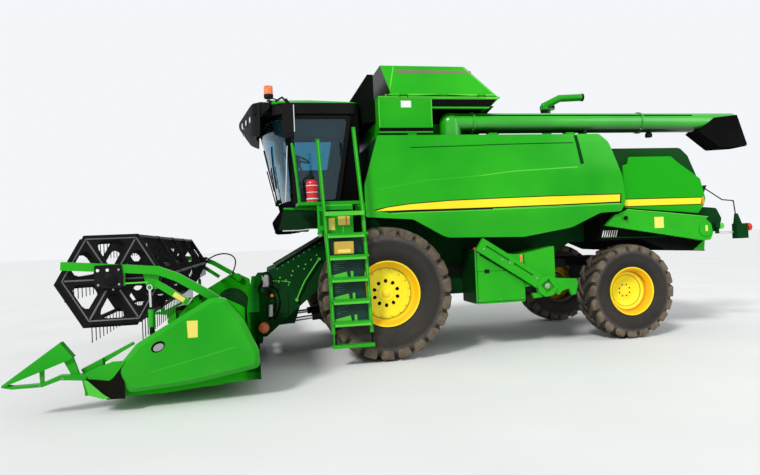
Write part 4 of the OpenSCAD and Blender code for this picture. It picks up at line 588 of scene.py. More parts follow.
def bent_tube(name, points, radius, material, body, smooth_path=True, slot=None):
    """A round tube or hose along a list of points."""
    let_go()
    line = bpy.data.curves.new(name, "CURVE")
    line.dimensions, line.use_fill_caps = "3D", True
    line.bevel_depth, line.bevel_resolution = radius, 5
    path = line.splines.new("BEZIER" if smooth_path else "POLY")
    if smooth_path:
        path.bezier_points.add(len(points) - 1)
        for knot, point in zip(path.bezier_points, points):
            knot.co = point
            knot.handle_left_type = knot.handle_right_type = "AUTO"
        line.resolution_u = 8
    else:
        path.points.add(len(points) - 1)
        for knot, point in zip(path.points, points):
            knot.co = (*point, 1.0)
    piece = bpy.data.objects.new(name, line)
    bpy.context.collection.objects.link(piece)
    bpy.context.view_layer.objects.active = piece
    piece.select_set(True)
    bpy.ops.object.convert(target="MESH")
    piece = bpy.context.object
    open_mesh()
    close_mesh(WELD)
    bpy.ops.object.shade_smooth_by_angle(angle=radians(50))
    return hand_over(piece, name, material, body, slot)


def sleeve(name, centre, radius, length, wall, material, body, slot=None):
    """An upright sleeve round a barrel: a tube open at both ends with its wall inward."""
    let_go()
    bpy.ops.mesh.primitive_cylinder_add(vertices=32, radius=radius, depth=length, end_fill_type="NOTHING",
                                        location=centre)
    piece = bpy.context.object
    shell = piece.modifiers.new("wall", "SOLIDIFY")
    shell.thickness, shell.offset = wall, -1.0
    bpy.ops.object.modifier_apply(modifier="wall")
    settle()
    bpy.ops.object.shade_smooth_by_angle(angle=radians(35))
    return hand_over(piece, name, material, body, slot)


# ---------------------------------------------------------------- stripes

STRIPE_TOP = [(0.11, 1.965), (-0.05, 2.005), (-0.36, 2.04), (-0.9, 2.068), (-1.52, 2.08), (-2.4, 2.09),
              (-3.45, 2.09)]
STRIPE_LOW = [(-3.44, 1.99), (-2.4, 1.975), (-1.52, 1.968), (-0.9, 1.966), (-0.36, 1.966), (-0.1, 1.962)]


def panel_stripes(side, sign):
    body = f"panel_{side}"
    faces = side_range(sign, PANEL_Y + 0.0002, PANEL_Y + 0.0012)
    dark = side_range(sign, PANEL_Y + 0.0002, PANEL_Y + 0.0008)
    plate(f"panel_stripe_{side}", STRIPE_TOP + STRIPE_LOW, *faces, YELLOW, body)
    upper = [(x + (0.03 if i == 0 else 0.0), z + 0.012) for i, (x, z) in enumerate(STRIPE_TOP)]
    lower = [(x, z - 0.014) for x, z in STRIPE_LOW]
    lower = [(x - 0.022 if i == 0 else x, z - 0.016) for i, (x, z) in enumerate(lower)]
    upper = upper[:-1] + [(upper[-1][0] - 0.022, upper[-1][1])]
    plate(f"panel_stripe_edge_{side}", upper + lower, *dark, BLACK_PLASTIC, body)
    plate(f"panel_stripe_light_{side}", lower + [(x, z - 0.012) for x, z in reversed(lower)], *dark, PALE_GREEN,
          body)


each_side(panel_stripes)


def hood_stripe(side, sign):
    faces = side_range(sign, HOOD_Y + 0.0002, HOOD_Y + 0.0014)
    dark = side_range(sign, HOOD_Y + 0.0002, HOOD_Y + 0.0008)
    plate(f"hood_stripe_{side}", [(-3.60, 1.925), (-4.86, 1.925), (-4.88, 2.015), (-3.60, 2.02)], *faces,
          YELLOW, "chassis")
    plate(f"hood_stripe_edge_{side}", [(-3.60, 1.913), (-4.86, 1.913), (-4.88, 2.027), (-3.60, 2.032)],
          *dark, BLACK_PLASTIC, "chassis")


each_side(hood_stripe)

# ---------------------------------------------------------------- tyres and wheels

# Half of the carcass's section, bead to crown, in parts of the sidewall's height and of half the width
CARCASS = [(-0.055, 0.79), (0.01, 0.805), (0.035, 0.822), (0.06, 0.83), (0.09, 0.88), (0.2, 0.955),
           (0.36, 0.998), (0.5, 1.0), (0.64, 0.982), (0.755, 0.935), (0.835, 0.86), (0.885, 0.74),
           (0.907, 0.52), (0.915, 0.0)]
# A lug from the middle of the tread over the shoulder: width, height, lead, half width and depth;
# lead and half width in pitches
LUG_ROWS = [(-0.09, 1.0, 0.66, 0.095, 0.12), (0.11, 1.0, 0.51, 0.11, 0.12), (0.40, 0.995, 0.26, 0.15, 0.125),
            (0.69, 0.98, 0.02, 0.22, 0.14), (0.90, 0.955, -0.15, 0.32, 0.165),
            (0.982, 0.905, -0.20, 0.37, 0.175), (1.0, 0.80, -0.215, 0.36, 0.15),
            (0.992, 0.70, -0.22, 0.31, 0.10)]


def carcass(name, centre, rim, radius, half, material, body):
    """A tyre's carcass: its closed section is spun once round the wheel's axis."""
    rows = [(rim + u * (radius - rim), v * half) for u, v in CARCASS]
    section = rows + [(r, -y) for r, y in reversed(rows[:-1])]
    inner = [(r - 0.018 if r > rim + 0.05 else r, 0.93 * y) for r, y in reversed(section[1:-1])]
    let_go()
    bpy.ops.mesh.primitive_circle_add(vertices=len(section + inner), radius=1.0, fill_type="NOTHING")
    piece = bpy.context.object
    for vertex, (r, y) in zip(piece.data.vertices, section + inner):
        vertex.co = (centre[0], centre[1] + y, centre[2] + r)
    piece.location = (0, 0, 0)
    open_mesh()
    bpy.ops.mesh.spin(steps=96, angle=2 * pi, center=centre, axis=(0, 1, 0))
    close_mesh(0.0005)
    bpy.ops.object.shade_smooth_by_angle(angle=radians(40))
    return hand_over(piece, name, material, body, slot="tyre")


def lug_row(name, centre, rim, radius, half, count, turn, side, material, body):
    """One row of lugs: a strip shaped over the shoulder, given its depth, bevelled and spun round the wheel."""
    pitch = 2 * pi / count
    wall = radius - rim
    let_go()
    bpy.ops.mesh.primitive_grid_add(x_subdivisions=len(LUG_ROWS) - 1, y_subdivisions=1, size=1.0,
                                    location=(0, 0, 0))
    piece = bpy.context.object

    def place(y, r, angle):
        return (centre[0] + r * sin(angle), centre[1] + side * y, centre[2] + r * cos(angle))

    found = sorted(piece.data.vertices, key=lambda vertex: (round(vertex.co.x, 4), vertex.co.y))
    tops = {}
    for i, (across, height, lead, width, depth) in enumerate(LUG_ROWS):
        y, r = across * half, rim + height * wall
        for j, edge in enumerate((-1, 1)):
            vertex = found[2 * i + j]
            angle = turn + pitch * (lead + edge * width)
            vertex.co = place(y, r, angle)
            foot = Vector((0.46 * half - y, rim + 0.35 * wall - r)).normalized() * depth * wall * 1.12
            low = place(y + foot[0], r + foot[1], angle + edge * pitch * 0.05)
            tops[vertex.index] = Vector(low)
    lows = [tops[i] for i in range(len(found))]
    high = [vertex.co.copy() for vertex in piece.data.vertices]
    open_mesh()
    bpy.ops.mesh.extrude_region_move(TRANSFORM_OT_translate={"value": (0, 0, 0)})
    bpy.ops.object.mode_set(mode="OBJECT")
    for vertex in piece.data.vertices:
        if vertex.select:
            nearest = min(range(len(high)), key=lambda k: (high[k] - vertex.co).length)
            vertex.co = lows[nearest]
    open_mesh()
    close_mesh()
    bevel(piece, 0.008 * wall / 0.45, 1, 50)
    bpy.ops.object.modifier_apply(modifier="edge")
    open_mesh()
    bpy.ops.mesh.spin(dupli=True, steps=count - 1, angle=2 * pi * (count - 1) / count, center=centre,
                      axis=(0, 1, 0))
    close_mesh()
    bpy.ops.object.shade_smooth_by_angle(angle=radians(28))
    return hand_over(piece, name, material, body, slot="tyre")


def bolt_head(middle, axis, radius, height, sides, chamfer):
    """One bolt head about its middle, its rim chamfered by a share of its radius."""
    bpy.ops.mesh.primitive_cylinder_add(vertices=sides, radius=radius, depth=height, location=middle,
                                        rotation=TURN_TO[axis])
    piece = bpy.context.object
    settle()
    bevel(piece, radius * chamfer, 1, 30)
    bpy.ops.object.modifier_apply(modifier="edge")
    return piece


def ring_of_heads(name, centre, y, out, circle, count, radius, height, material, body, slot=None):
    """A ring of hexagon heads on a wheel's face: one is modelled and spun round the axis."""
    let_go()
    angle = pi / count
    spot = (centre[0] + circle * cos(angle), y + out * height / 2, centre[2] + circle * sin(angle))
    piece = bolt_head(spot, "Y", radius, height, 6, 0.16)
    open_mesh()
    bpy.ops.mesh.spin(dupli=True, steps=count - 1, angle=2 * pi * (count - 1) / count, center=centre,
                      axis=(0, 1, 0))
    close_mesh()
    return hand_over(piece, name, material, body, slot)


def rim_bead(name, centre, radius, material, body):
    """A rolled bead round a rim's barrel: a ring flattened along the axle."""
    let_go()
    bpy.ops.mesh.primitive_torus_add(major_radius=radius, minor_radius=0.008, major_segments=64,
                                     minor_segments=10, location=centre, rotation=(pi / 2, 0, 0))
    piece = bpy.context.object
    settle()
    open_mesh()
    bpy.ops.transform.resize(value=(1, 0.7, 1), center_override=centre)
    bpy.ops.object.mode_set(mode="OBJECT")
    bpy.ops.object.shade_smooth_by_angle(angle=radians(50))
    return hand_over(piece, name, material, body, slot="yellow_paint")


def wheel_finishes(end, track, axis, rim, radius):
    """The finishes of one axle's wheels, with dust and wear in rings round the wheels' axis, and painted shade on
    the rims.
    """
    front, wall = end == "front", radius - rim
    walls = finish_material(f"{end}_tyre_rubber", (0.009, 0.008, 0.008), (0.018, 0.016, 0.015), 0.65, dust=0.10,
                            reach=1.2, wear=0.04, wear_colour=(0.10, 0.08, 0.06), bump=0.15, peel=140.0,
                            sheen=0.25)
    add_ring(walls, (0.15, 0.13, 0.115), axis, rim + 0.54 * wall, rim + 0.80 * wall, 0.05, 0.6, 0.55)
    add_ring(walls, (0.05, 0.042, 0.034), axis, rim + 0.15 * wall, rim + 0.6 * wall, 0.10, 0.9, 0.4)
    treads = finish_material(f"{end}_tread_rubber", (0.020, 0.016, 0.013), (0.055, 0.043, 0.032), 0.8,
                             dust=0.32, reach=1.6, wear=0.2, wear_colour=(0.20, 0.15, 0.10), bump=0.25,
                             peel=60.0, sheen=0.2)
    add_ring(treads, (0.19, 0.145, 0.10), axis, rim + 0.62 * wall, rim + 0.985 * wall, 0.02, 0.9,
             0.75 if front else 0.95)
    paint = finish_material(f"{end}_rim_enamel_and_painted_shade", (0.90, 0.70, 0.008), (0.96, 0.82, 0.012), 0.36, dust=0.08,
                            reach=1.0, wear=0.05, sheen=0.3)
    # Painted shade on the rims: an orange ring over the flange from shade_from to shade_to, and a dark ring round
    # line, at the step
    shade_from, shade_to, line = (0.345, 0.424, 0.336) if front else (0.262, 0.343, 0.232)
    add_ring(paint, (0.88, 0.40, 0.006), axis, shade_from, shade_to, 0.02, 0.1, 0.85)
    add_ring(paint, (0.12, 0.06, 0.004), axis, line - 0.010, line + 0.006, 0.006, 0.1, 0.85)
    # Painted shade: the rims' inner side, towards the middle of the machine, turns near black
    near, far = (0.02, 0.10) if front else (0.011, 0.020)
    tone_beyond(paint, "W", track - near, track - far, (0.012, 0.009, 0.004), 0.97)
    return walls, treads, paint


def front_hub(name, centre, sign, body):
    # black heads over the hub's holes: painted shade in them
    ring_of_heads(f"front_hub_holes_{name}", centre, sign * 1.3502, sign, 0.163, 10, 0.026, 0.0025, SHADE_BLACK, body)
    turned(f"front_hub_cap_{name}",
           [(0.001, 0.0), (0.052, 0.0), (0.052, sign * 0.010), (0.040, sign * 0.018), (0.001, sign * 0.02)],
           (centre[0], sign * 1.3575, centre[2]), "Y", YELLOW, body)
    ring_of_heads(f"front_rim_heads_{name}", centre, sign * 1.365, sign, 0.303, 16, 0.015, 0.014, YELLOW, body)


def rear_hub(name, centre, sign, body):
    # the hub's ring of eight flat heads is laid in the near black of painted shade
    ring_of_heads(f"rear_hub_heads_{name}", centre, sign * 1.0802, sign, 0.088, 8, 0.0125, 0.004, SHADE_BLACK, body,
                  slot="bare_steel")
    for k, (r, y) in enumerate(((0.2785, 1.1545), (0.296, 1.21))):
        rim_bead(f"rear_rim_bead_{k}_{name}", (centre[0], sign * y, centre[2]), r, RIM_SHADE, body)


# End, station, half the track, tyre's radius, rim's radius, half the tyre's width, lugs in a row, hub
WHEELS = (("front", 0.0, 1.215, 0.880, 0.430, 0.325, 22, front_hub),
          ("rear", -WHEELBASE, 1.090, 0.688, 0.350, 0.215, 20, rear_hub))
for end, x, track, radius, rim, half, count, add_hub in WHEELS:
    axis = (station(x), radius)
    walls, treads, paint = wheel_finishes(end, track, axis, rim, radius)
    for side, sign in (("left", 1.0), ("right", -1.0)):
        nodes[f"{end}_rim_{side}"].material_slots[0].material = paint
        centre = (axis[0], sign * track, radius)
        body = f"{end}_wheel_{side}"
        ring = carcass(f"{end}_carcass_{side}", centre, rim, radius, half, walls, body)
        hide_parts(f"{end}_tyre_{side}")
        for row, half_side, turn in (("outer", sign, 0.0), ("inner", -sign, pi / count)):
            lug_row(f"{end}_lugs_{row}_{side}", centre, rim, radius, half, count, turn, half_side, treads, body)
        add_hub(side, centre, sign, body)

# ---------------------------------------------------------------- pieces laid on a node's surface

def patch(name, node, corners, axis, out, material, body, cuts=(1, 1), thick=0.0015, lift=0.0003, slot=None):
    """A thin plate laid on a node's surface: its grid of points is dropped onto the node along an axis."""
    let_go()
    k = AXES[axis]
    bpy.ops.mesh.primitive_grid_add(x_subdivisions=cuts[0], y_subdivisions=cuts[1], size=1.0,
                                    location=(0, 0, 0))
    piece = bpy.context.object
    a, b, c, d = [Vector(corner) for corner in corners]
    aim = Vector([-out if i == k else 0.0 for i in range(3)])
    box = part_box(node)
    start = (box[1][k] + 0.5) if out > 0 else (box[0][k] - 0.5)
    seat, spots = None, []
    for vertex in piece.data.vertices:
        u, v = vertex.co.x + 0.5, vertex.co.y + 0.5
        flat = (a * (1 - u) + b * u) * (1 - v) + (d * (1 - u) + c * u) * v
        origin = list(flat)
        origin.insert(k, start)
        hit, spot, normal, face = nodes[node].ray_cast(Vector(origin), aim)
        if hit:
            seat = spot[k]
            spots.append(Vector(spot) + Vector(normal) * lift)
        else:
            spots.append(None)
            vertex.co = origin
    for vertex, spot in zip(piece.data.vertices, spots):
        if spot is None:  # past the node's edge: level with the last point that met it
            spot = list(vertex.co)
            spot[k] = seat + out * lift
        vertex.co = spot
    open_mesh()
    close_mesh()
    facing = sum((Vector(face.normal) for face in piece.data.polygons), Vector()) @ -aim
    if facing < 0:
        open_mesh()
        bpy.ops.mesh.flip_normals()
        bpy.ops.object.mode_set(mode="OBJECT")
    wall = piece.modifiers.new("wall", "SOLIDIFY")
    wall.thickness, wall.offset = thick, 1.0
    return hand_over(piece, name, material, body, slot)


def side_patch(name, node, outline, side, material, body, cuts=(1, 1), thick=0.0015, lift=0.0003, slot=None):
    """A patch on a side face, its corners given by station and height."""
    sign = 1.0 if side == "left" else -1.0
    return patch(f"{name}_{side}", node, [(station(x), z) for x, z in outline], "Y", sign, material, body, cuts,
                 thick, lift, slot)


def heads(name, places, axis, out, radius, height, material, body, sides=6, slot=None):
    """Bolt heads on a face: one hexagon head is modelled, and each other place gets a copy of its mesh."""
    let_go()
    first = Vector(places[0])
    first[AXES[axis]] += out * height / 2
    piece = bolt_head(first, axis, radius, height, sides, 0.18)
    copies = []
    for spot in places[1:]:
        copy = bpy.data.objects.new(name, piece.data.copy())
        bpy.context.collection.objects.link(copy)
        copy.data.transform(Matrix.Translation(Vector(spot) - Vector(places[0])))
        copies.append(copy)
    for copy in copies:
        copy.select_set(True)
    piece.select_set(True)
    bpy.context.view_layer.objects.active = piece
    if copies:
        bpy.ops.object.join()
    return hand_over(piece, name, material, body, slot)


def side_heads(name, side, y, spots, radius, height, material, body, sides=6):
    """Bolt heads on a side face at width y, placed by station and height."""
    sign = 1.0 if side == "left" else -1.0
    heads(f"{name}_{side}", [at(x, sign * y, z) for x, z in spots], "Y", sign, radius, height, material, body,
          sides)


def rod(name, points, radius, material, body, slot=None):
    return bent_tube(name, points, radius, material, body, smooth_path=False, slot=slot)


# ---------------------------------------------------------------- grain tank and its lids

def tank_side(side, sign):
    body, lid = "chassis", f"lid_{side}"
    # painted shadow in the notch behind the elbow, and painted shade in the groove below it
    side_patch("tank_notch_shadow", "grain_tank", [(-0.742, 3.452), (-1.795, 3.452), (-1.52, 3.190), (-0.742, 3.190)],
               side, SHADE_BLACK, body, (16, 8))
    side_patch("tank_groove_shade", "grain_tank", band(-0.74, -0.002, 3.022, 3.068), side, SHADE_BLACK, body)
    side_patch("tank_lower_lip", "grain_tank", band(-0.735, -0.005, 2.985, 3.018), side, PALE_GREEN, body)
    side_patch("tank_upper_lip", "grain_tank", band(-1.70, -0.004, 3.458, 3.486), side, PALE_GREEN, body,
               (6, 1))
    side_patch("tank_plate", "grain_tank", band(-0.45, -0.31, 3.34, 3.43), side, BLANK_WHITE, body,
               slot="green_paint")
    side_patch("tank_front_edge", "grain_tank", band(-0.016, -0.004, 3.08, 3.45), side, PALE_GREEN, body)
    side_patch("tank_notch_edge", "grain_tank", band(-0.738, -0.726, 3.08, 3.45), side, PALE_GREEN, body)
    rod(f"tank_lid_seal_{side}", [at(-0.13, sign * 1.347, 3.493), at(-1.66, sign * 1.347, 3.493)], 0.005,
        SPOUT_RUBBER, body)
    side_patch("lid_strip", f"tank_lid_{side}", band(-1.42, -0.34, 3.875, 3.925), side, LID_STRIP, lid, (4, 1))
    side_patch("lid_low_edge", f"tank_lid_{side}",
               [(-1.67, 3.512), (-0.15, 3.512), (-0.16, 3.530), (-1.655, 3.530)], side, PALE_GREEN, lid, (4, 1))
    side_patch("lid_front_edge", f"tank_lid_{side}",
               [(-0.150, 3.52), (-0.170, 3.52), (-0.318, 3.985), (-0.298, 3.985)], side, PALE_GREEN, lid,
               (1, 6))
    side_patch("lid_rear_edge", f"tank_lid_{side}",
               [(-1.640, 3.52), (-1.660, 3.52), (-1.335, 3.985), (-1.315, 3.985)], side, PALE_GREEN, lid,
               (1, 6))
    heads(f"tank_heads_{side}", [at(x, sign * SIDE_Y, z) for x in (-0.05, -0.70) for z in (3.12, 3.40)], "Y",
          sign, 0.009, 0.006, GREEN, body)


each_side(tank_side)

# ---------------------------------------------------------------- cab

def cut_visor(name, cuts):
    """A length of the visor: a copy of the plain one, cut back by planes and with its edges rounded."""
    let_go()
    piece = nodes["cab_visor"].copy()
    piece.data = nodes["cab_visor"].data.copy()
    bpy.context.collection.objects.link(piece)
    piece.parent = None
    piece.matrix_world = Matrix.Identity(4)
    bpy.context.view_layer.objects.active = piece
    piece.select_set(True)
    open_mesh()
    bpy.ops.mesh.remove_doubles(threshold=0.00005)
    for spot, normal in cuts:
        bpy.ops.mesh.select_all(action="SELECT")
        bpy.ops.mesh.bisect(plane_co=spot, plane_no=Vector(normal).normalized(), use_fill=True,
                            clear_outer=True)
    bpy.ops.mesh.select_all(action="SELECT")
    bpy.ops.mesh.dissolve_limited(angle_limit=radians(1.0))
    bpy.ops.object.mode_set(mode="OBJECT")
    bevel(piece, 0.010, 2)
    return hand_over(piece, name, BLACK_PLASTIC, "chassis")


NOSE_CUT = (at(1.835, 0, 3.20), (0.8, 0, -1.0))
visor = cut_visor("visor_hood", [(at(0, 0.64, 0), (0, 1, 0)), (at(1.56, 0, 3.165), (0.24, 0, -1.0)),
                                 (at(1.80, 0, 3.30), (0.9, 0, -1.0))])
visor_end = cut_visor("visor_end",
                      [(at(0, 0.60, 0), (0, -1, 0)), (at(1.60, 0.80, 3.075), (-0.1, -0.25, -1.0)), NOSE_CUT])
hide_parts("cab_visor")
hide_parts("cab_visor")


def cab_side(side, sign):
    body = "chassis"
    side_patch("nose_panel", "cab_shell", [(0.79, 1.775), (1.35, 1.775), (1.27, 2.065), (0.79, 2.00)], side,
               NOSE_GREEN, body, (4, 2), 0.004)
    slab(f"mirror_glass_{side}", (1.106, 1.1195), side_range(sign, 1.276, 1.324), (3.03, 3.38), LAMP_WHITE,
         body, 0.003)
    slab(f"mirror_low_{side}", (1.13, 1.255), side_range(sign, 1.272, 1.328), (2.955, 2.999), BLACK_PLASTIC,
         body, 0.012)
    rod(f"mirror_stay_{side}", [at(1.32, sign * 0.99, 3.50), at(1.25, sign * 1.25, 3.49),
                                at(1.20, sign * 1.30, 3.42)], 0.013, BLACK, body)
    rod(f"visor_strut_{side}", [at(1.40, sign * 0.90, 3.47), at(1.42, sign * 0.80, 3.60),
                                at(1.30, sign * 0.84, 3.555)], 0.009, BLACK, body)
    # a pale line down the pillar: painted highlight
    rod(f"pillar_highlight_{side}", [at(1.245, sign * 0.984, 2.15), at(1.195, sign * 0.984, 2.9)], 0.006,
        LAMP_WHITE, body)
    for y in (0.30, 0.52, 0.74):
        front = 1.86 - y * tan(radians(13.9)) - 0.022
        turned(f"visor_lens_{round(y * 100)}_{side}",
               [(0.042, 0.0), (0.040, 0.006), (0.030, 0.012), (0.012, 0.015), (0.001, 0.0155)],
               at(front - 0.01, sign * y, 3.30), "X", LAMP_WHITE, body, 24)
    top = [(1.635, 3.480), (1.52, 3.506), (1.40, 3.500), (1.40, 3.42), (1.50, 3.33), (1.63, 3.33)]
    plate(f"visor_cheek_{side}", top, *side_range(sign, 0.80, 0.93), BLACK_PLASTIC, body, 0.012)
    side_patch("nose_top_light", "cab_shell", [(0.80, 2.020), (1.28, 2.052), (1.272, 2.072), (0.80, 2.066)],
               side, GREEN, body, (4, 1), 0.006)
    rod(f"nose_low_line_{side}", [at(0.93, sign * 0.924, 1.772), at(1.06, sign * 0.924, 1.760),
                                  at(1.30, sign * 0.924, 1.760)], 0.008, LAMP_WHITE, body)


each_side(cab_side)


def seat_pad(name, low, high, lean, crown):
    """A crowned seat pad, grown from a block whose corners the subdivision draws in."""
    let_go()
    size = [b - a for a, b in zip(low, high)]
    middle = [(a + b) / 2 for a, b in zip(low, high)]
    bpy.ops.mesh.primitive_cube_add(size=1.0, location=middle, scale=size)
    piece = bpy.context.object
    settle()
    open_mesh()
    bpy.ops.mesh.subdivide(number_cuts=3)
    bpy.ops.object.mode_set(mode="OBJECT")
    bevel(piece, min(size) * 0.16, 2)
    thin = size.index(min(size))
    wide = [k for k in range(3) if k != thin]
    for vertex in piece.data.vertices:
        spread = [2 * (vertex.co[k] - middle[k]) / size[k] for k in range(3)]
        flat = [abs(spread[k]) for k in wide]
        give = 0.6 if spread[thin] < 0 else 1.0
        vertex.co[thin] += crown * (1 - flat[0] ** 2) * (1 - flat[1] ** 2) * spread[thin] * give
        for k, other in zip(wide, reversed(flat)):
            vertex.co[k] -= spread[k] * 0.010 * (1 - other ** 2)
        vertex.co.x -= lean * (vertex.co.z - low[2])
    for polygon in piece.data.polygons:
        polygon.use_smooth = True
    swell = piece.modifiers.new("swell", "SUBSURF")
    swell.levels = swell.render_levels = 2
    bpy.ops.object.modifier_apply(modifier="swell")
    hand_over(piece, name, WOVEN, "chassis")
    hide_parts("driver_seat")
    return piece


seat_pad("seat_cushion", at(0.43, -0.25, 2.505), at(0.89, 0.25, 2.612), 0.0, 0.014)
seat_pad("seat_backrest", at(0.455, -0.235, 2.605), at(0.535, 0.235, 3.18), 0.17, 0.012)
slab("seat_pan", (0.44, 0.88), (-0.24, 0.24), (2.490, 2.506), BLACK_PLASTIC, "chassis", 0.006)
slab("side_console", (0.30, 0.98), (-0.90, -0.56), (CAB_FLOOR, 2.64), BLACK_PLASTIC, "chassis", 0.03)
slab("second_seat", (0.33, 0.72), (0.40, 0.80), (CAB_FLOOR, 2.46), BLACK_PLASTIC, "chassis", 0.04)
bent_tube("console_lever", [at(0.90, -0.42, 2.72), at(0.93, -0.42, 2.80), at(0.92, -0.41, 2.86)], 0.014,
          BLACK_PLASTIC, "chassis")
slab("corner_display", (1.02, 1.06), (-0.62, -0.40), (2.70, 2.86), BLACK_PLASTIC, "chassis", 0.01)
bent_tube("corner_display_stalk", [at(0.96, -0.60, 2.60), at(0.98, -0.60, 2.68), at(1.03, -0.60, 2.74)], 0.014,
          BLACK_PLASTIC, "chassis")


def on_glass(y, z, gap):
    """A point in front of the windscreen, for the wipers."""
    hit, spot, normal, face = nodes["cab_glass"].ray_cast(Vector(at(3.0, y, z)), Vector((-1, 0, 0)))
    return Vector(spot) + Vector((gap, 0, 0)) if hit else Vector(at(1.5, y, z))


for mark, foot, tip in (("left", (0.25, 2.20), (0.62, 2.95)), ("right", (-0.30, 2.20), (0.05, 2.98))):
    steps = [(foot[0] + (tip[0] - foot[0]) * i / 8, foot[1] + (tip[1] - foot[1]) * i / 8) for i in range(9)]
    bent_tube(f"wiper_arm_{mark}", [tuple(on_glass(y, z, 0.035)) for y, z in steps[:6]], 0.009, BLACK,
              "chassis")
    bent_tube(f"wiper_blade_{mark}", [tuple(on_glass(y, z, 0.0085)) for y, z in steps[2:]], 0.008, SPOUT_RUBBER,
              "chassis")
    turned(f"wiper_pivot_{mark}", [(0.03, -0.04), (0.03, 0.02), (0.018, 0.035), (0.001, 0.036)],
           tuple(on_glass(foot[0], foot[1], 0.012)), "X", BLACK, "chassis", 20)

# beacon: an orange dome over a black base
turned("beacon_base", [(0.062, 0.0), (0.064, 0.045), (0.058, 0.055), (0.001, 0.056)], at(*BEACON, 3.568), "Z",
       BLACK_PLASTIC, "chassis")
turned("beacon_dome", [(0.0605, 0.0), (0.0605, 0.07), (0.056, 0.09), (0.046, 0.104), (0.030, 0.110),
                       (0.001, 0.1115)], at(*BEACON, 3.618), "Z", ORANGE, "chassis")

# fire extinguisher: shoulder, neck, three pale bands, lever and hose
turned("extinguisher_shoulder", [(0.0745, 0.0), (0.070, 0.022), (0.055, 0.042), (0.032, 0.052), (0.001, 0.053)],
       at(*EXTINGUISHER, 2.336), "Z", RED, "chassis")
turned("extinguisher_neck", [(0.032, 0.0), (0.034, 0.03), (0.026, 0.05), (0.001, 0.051)],
       at(*EXTINGUISHER, 2.388), "Z", BLACK_PLASTIC, "chassis")
for z, tall in ((2.135, 0.012), (2.22, 0.006), (2.305, 0.008)):
    turned(f"extinguisher_band_{round(z * 1000)}",
           [(0.0755, 0.0), (0.0768, 0.002), (0.0768, tall), (0.0755, tall + 0.002)], at(*EXTINGUISHER, z), "Z",
           BLANK_WHITE, "chassis", 40, slot="red_paint")
slab("extinguisher_lever", (0.90, 1.01), (1.452, 1.468), (2.432, 2.446), BLACK_PLASTIC, "chassis")
bent_tube("extinguisher_hose", [at(0.95, 1.46, 2.41), at(1.02, 1.47, 2.40), at(1.035, 1.47, 2.33),
                                at(1.018, 1.46, 2.22), at(1.012, 1.46, 2.15)], 0.009, SPOUT_RUBBER, "chassis")

# ---------------------------------------------------------------- platform and steps

for name, outline, colour in (("platform_label_low", band(0.665, 0.745, 1.735, 1.885), BLANK_YELLOW),
                              ("platform_label_high", band(0.475, 0.625, 1.795, 1.905), BLANK_YELLOW),
                              ("platform_label_mark", band(0.505, 0.53, 1.795, 1.905), ORANGE),
                              ("platform_line", band(0.44, 0.83, 1.975, 1.99), SHADE_BLACK),
                              ("platform_post", band(0.555, 0.57, 1.67, 1.78), PALE_GREEN),
                              ("platform_top_light", band(0.44, 0.83, 2.042, 2.056), PALE_GREEN)):
    side_patch(name, "platform", outline, "left", colour, "chassis",
               lift=0.0006 if colour is ORANGE else 0.0003, thick=0.0018 if colour is ORANGE else 0.0012,
               slot="green_paint")

for i in range(6):
    z = FIRST_STEP + STEP_PITCH * i
    front = 0.745 + (z - 0.42) / (1.04 - 0.42) * 0.01 if z < 1.04 else 0.76 + (z - 1.04) / 1.84 * 0.09
    rear = 0.26 + (z - 0.42) / 1.52 * 0.05 if z < 1.94 else 0.31 + (z - 1.94) / 1.09 * 0.08
    inset = 0.012 if i < 5 else -0.004
    plate(f"step_lip_{i}", [(rear + inset, z - 0.030), (front - inset, z - 0.030), (front - inset, z + 0.022),
                            (rear + inset, z + 0.022)], 1.682 if i < 5 else 1.615, STEP_FRONT_Y, PALE_GREEN,
          "ladder", 0.002)
    heads(f"step_heads_{i}", [at(x, STEP_FRONT_Y, z - 0.004) for x in (rear + 0.03, front - 0.03)], "Y", 1.0,
          0.007, 0.0004, STEEL, "ladder")
slab("ladder_box", (0.455, 0.700), (1.590, 1.672), (1.425, 1.585), OCHRE, "ladder", 0.01)
slab("ladder_box_label", (0.50, 0.66), (1.6722, 1.6732), (1.445, 1.485), BLANK_YELLOW, "ladder", 0.0003)
slab("ladder_box_bracket", (0.45, 0.72), (1.5725, 1.589), (1.4065, 1.62), BACK_PLATE, "ladder", 0.004)

# ---------------------------------------------------------------- service boxes and slotted beam

def box_side(side, sign):
    body = "chassis"
    # a black line in the split between the boxes: painted shade in the gap
    side_patch("box_split", "service_boxes", band(-1.975, -1.965, 0.86, 1.30), side, SHADE_BLACK, body,
               slot="green_paint")
    side_patch("box_line_low", "service_boxes", band(-1.96, -1.26, 0.672, 0.680), side, DEEP_GREEN, body,
               slot="green_paint")
    side_patch("box_line_front", "service_boxes", band(-1.285, -1.277, 0.68, 1.36), side, DEEP_GREEN, body,
               slot="green_paint")
    side_patch("box_reflector", "service_boxes", band(-1.945, -1.912, 1.20, 1.30), side, ORANGE, body,
               thick=0.005)
    side_patch("box_dot", "service_boxes", band(-2.415, -2.395, 0.93, 0.955), side, BLANK_YELLOW, body,
               thick=0.004, slot="green_paint")
    turned(f"box_lamp_{side}", [(0.022, 0.0), (0.022, sign * 0.014), (0.014, sign * 0.022),
                                (0.001, sign * 0.024)], at(-1.262, sign * 1.335, 1.41), "Y", RED_LENS, body, 24)
    for k, x in enumerate((-1.42, -1.80)):
        slab(f"box_latch_{k}_{side}", (x - 0.035, x + 0.035), side_range(sign, SIDE_Y + 0.0003, SIDE_Y + 0.012),
             (1.07, 1.12), BLACK_PLASTIC, body, 0.006)
    side_heads("box_heads", side, SIDE_Y, ((-1.30, 0.70), (-1.60, 0.70), (-1.92, 0.70), (-1.30, 1.33)), 0.010,
               0.007, STEEL, body)


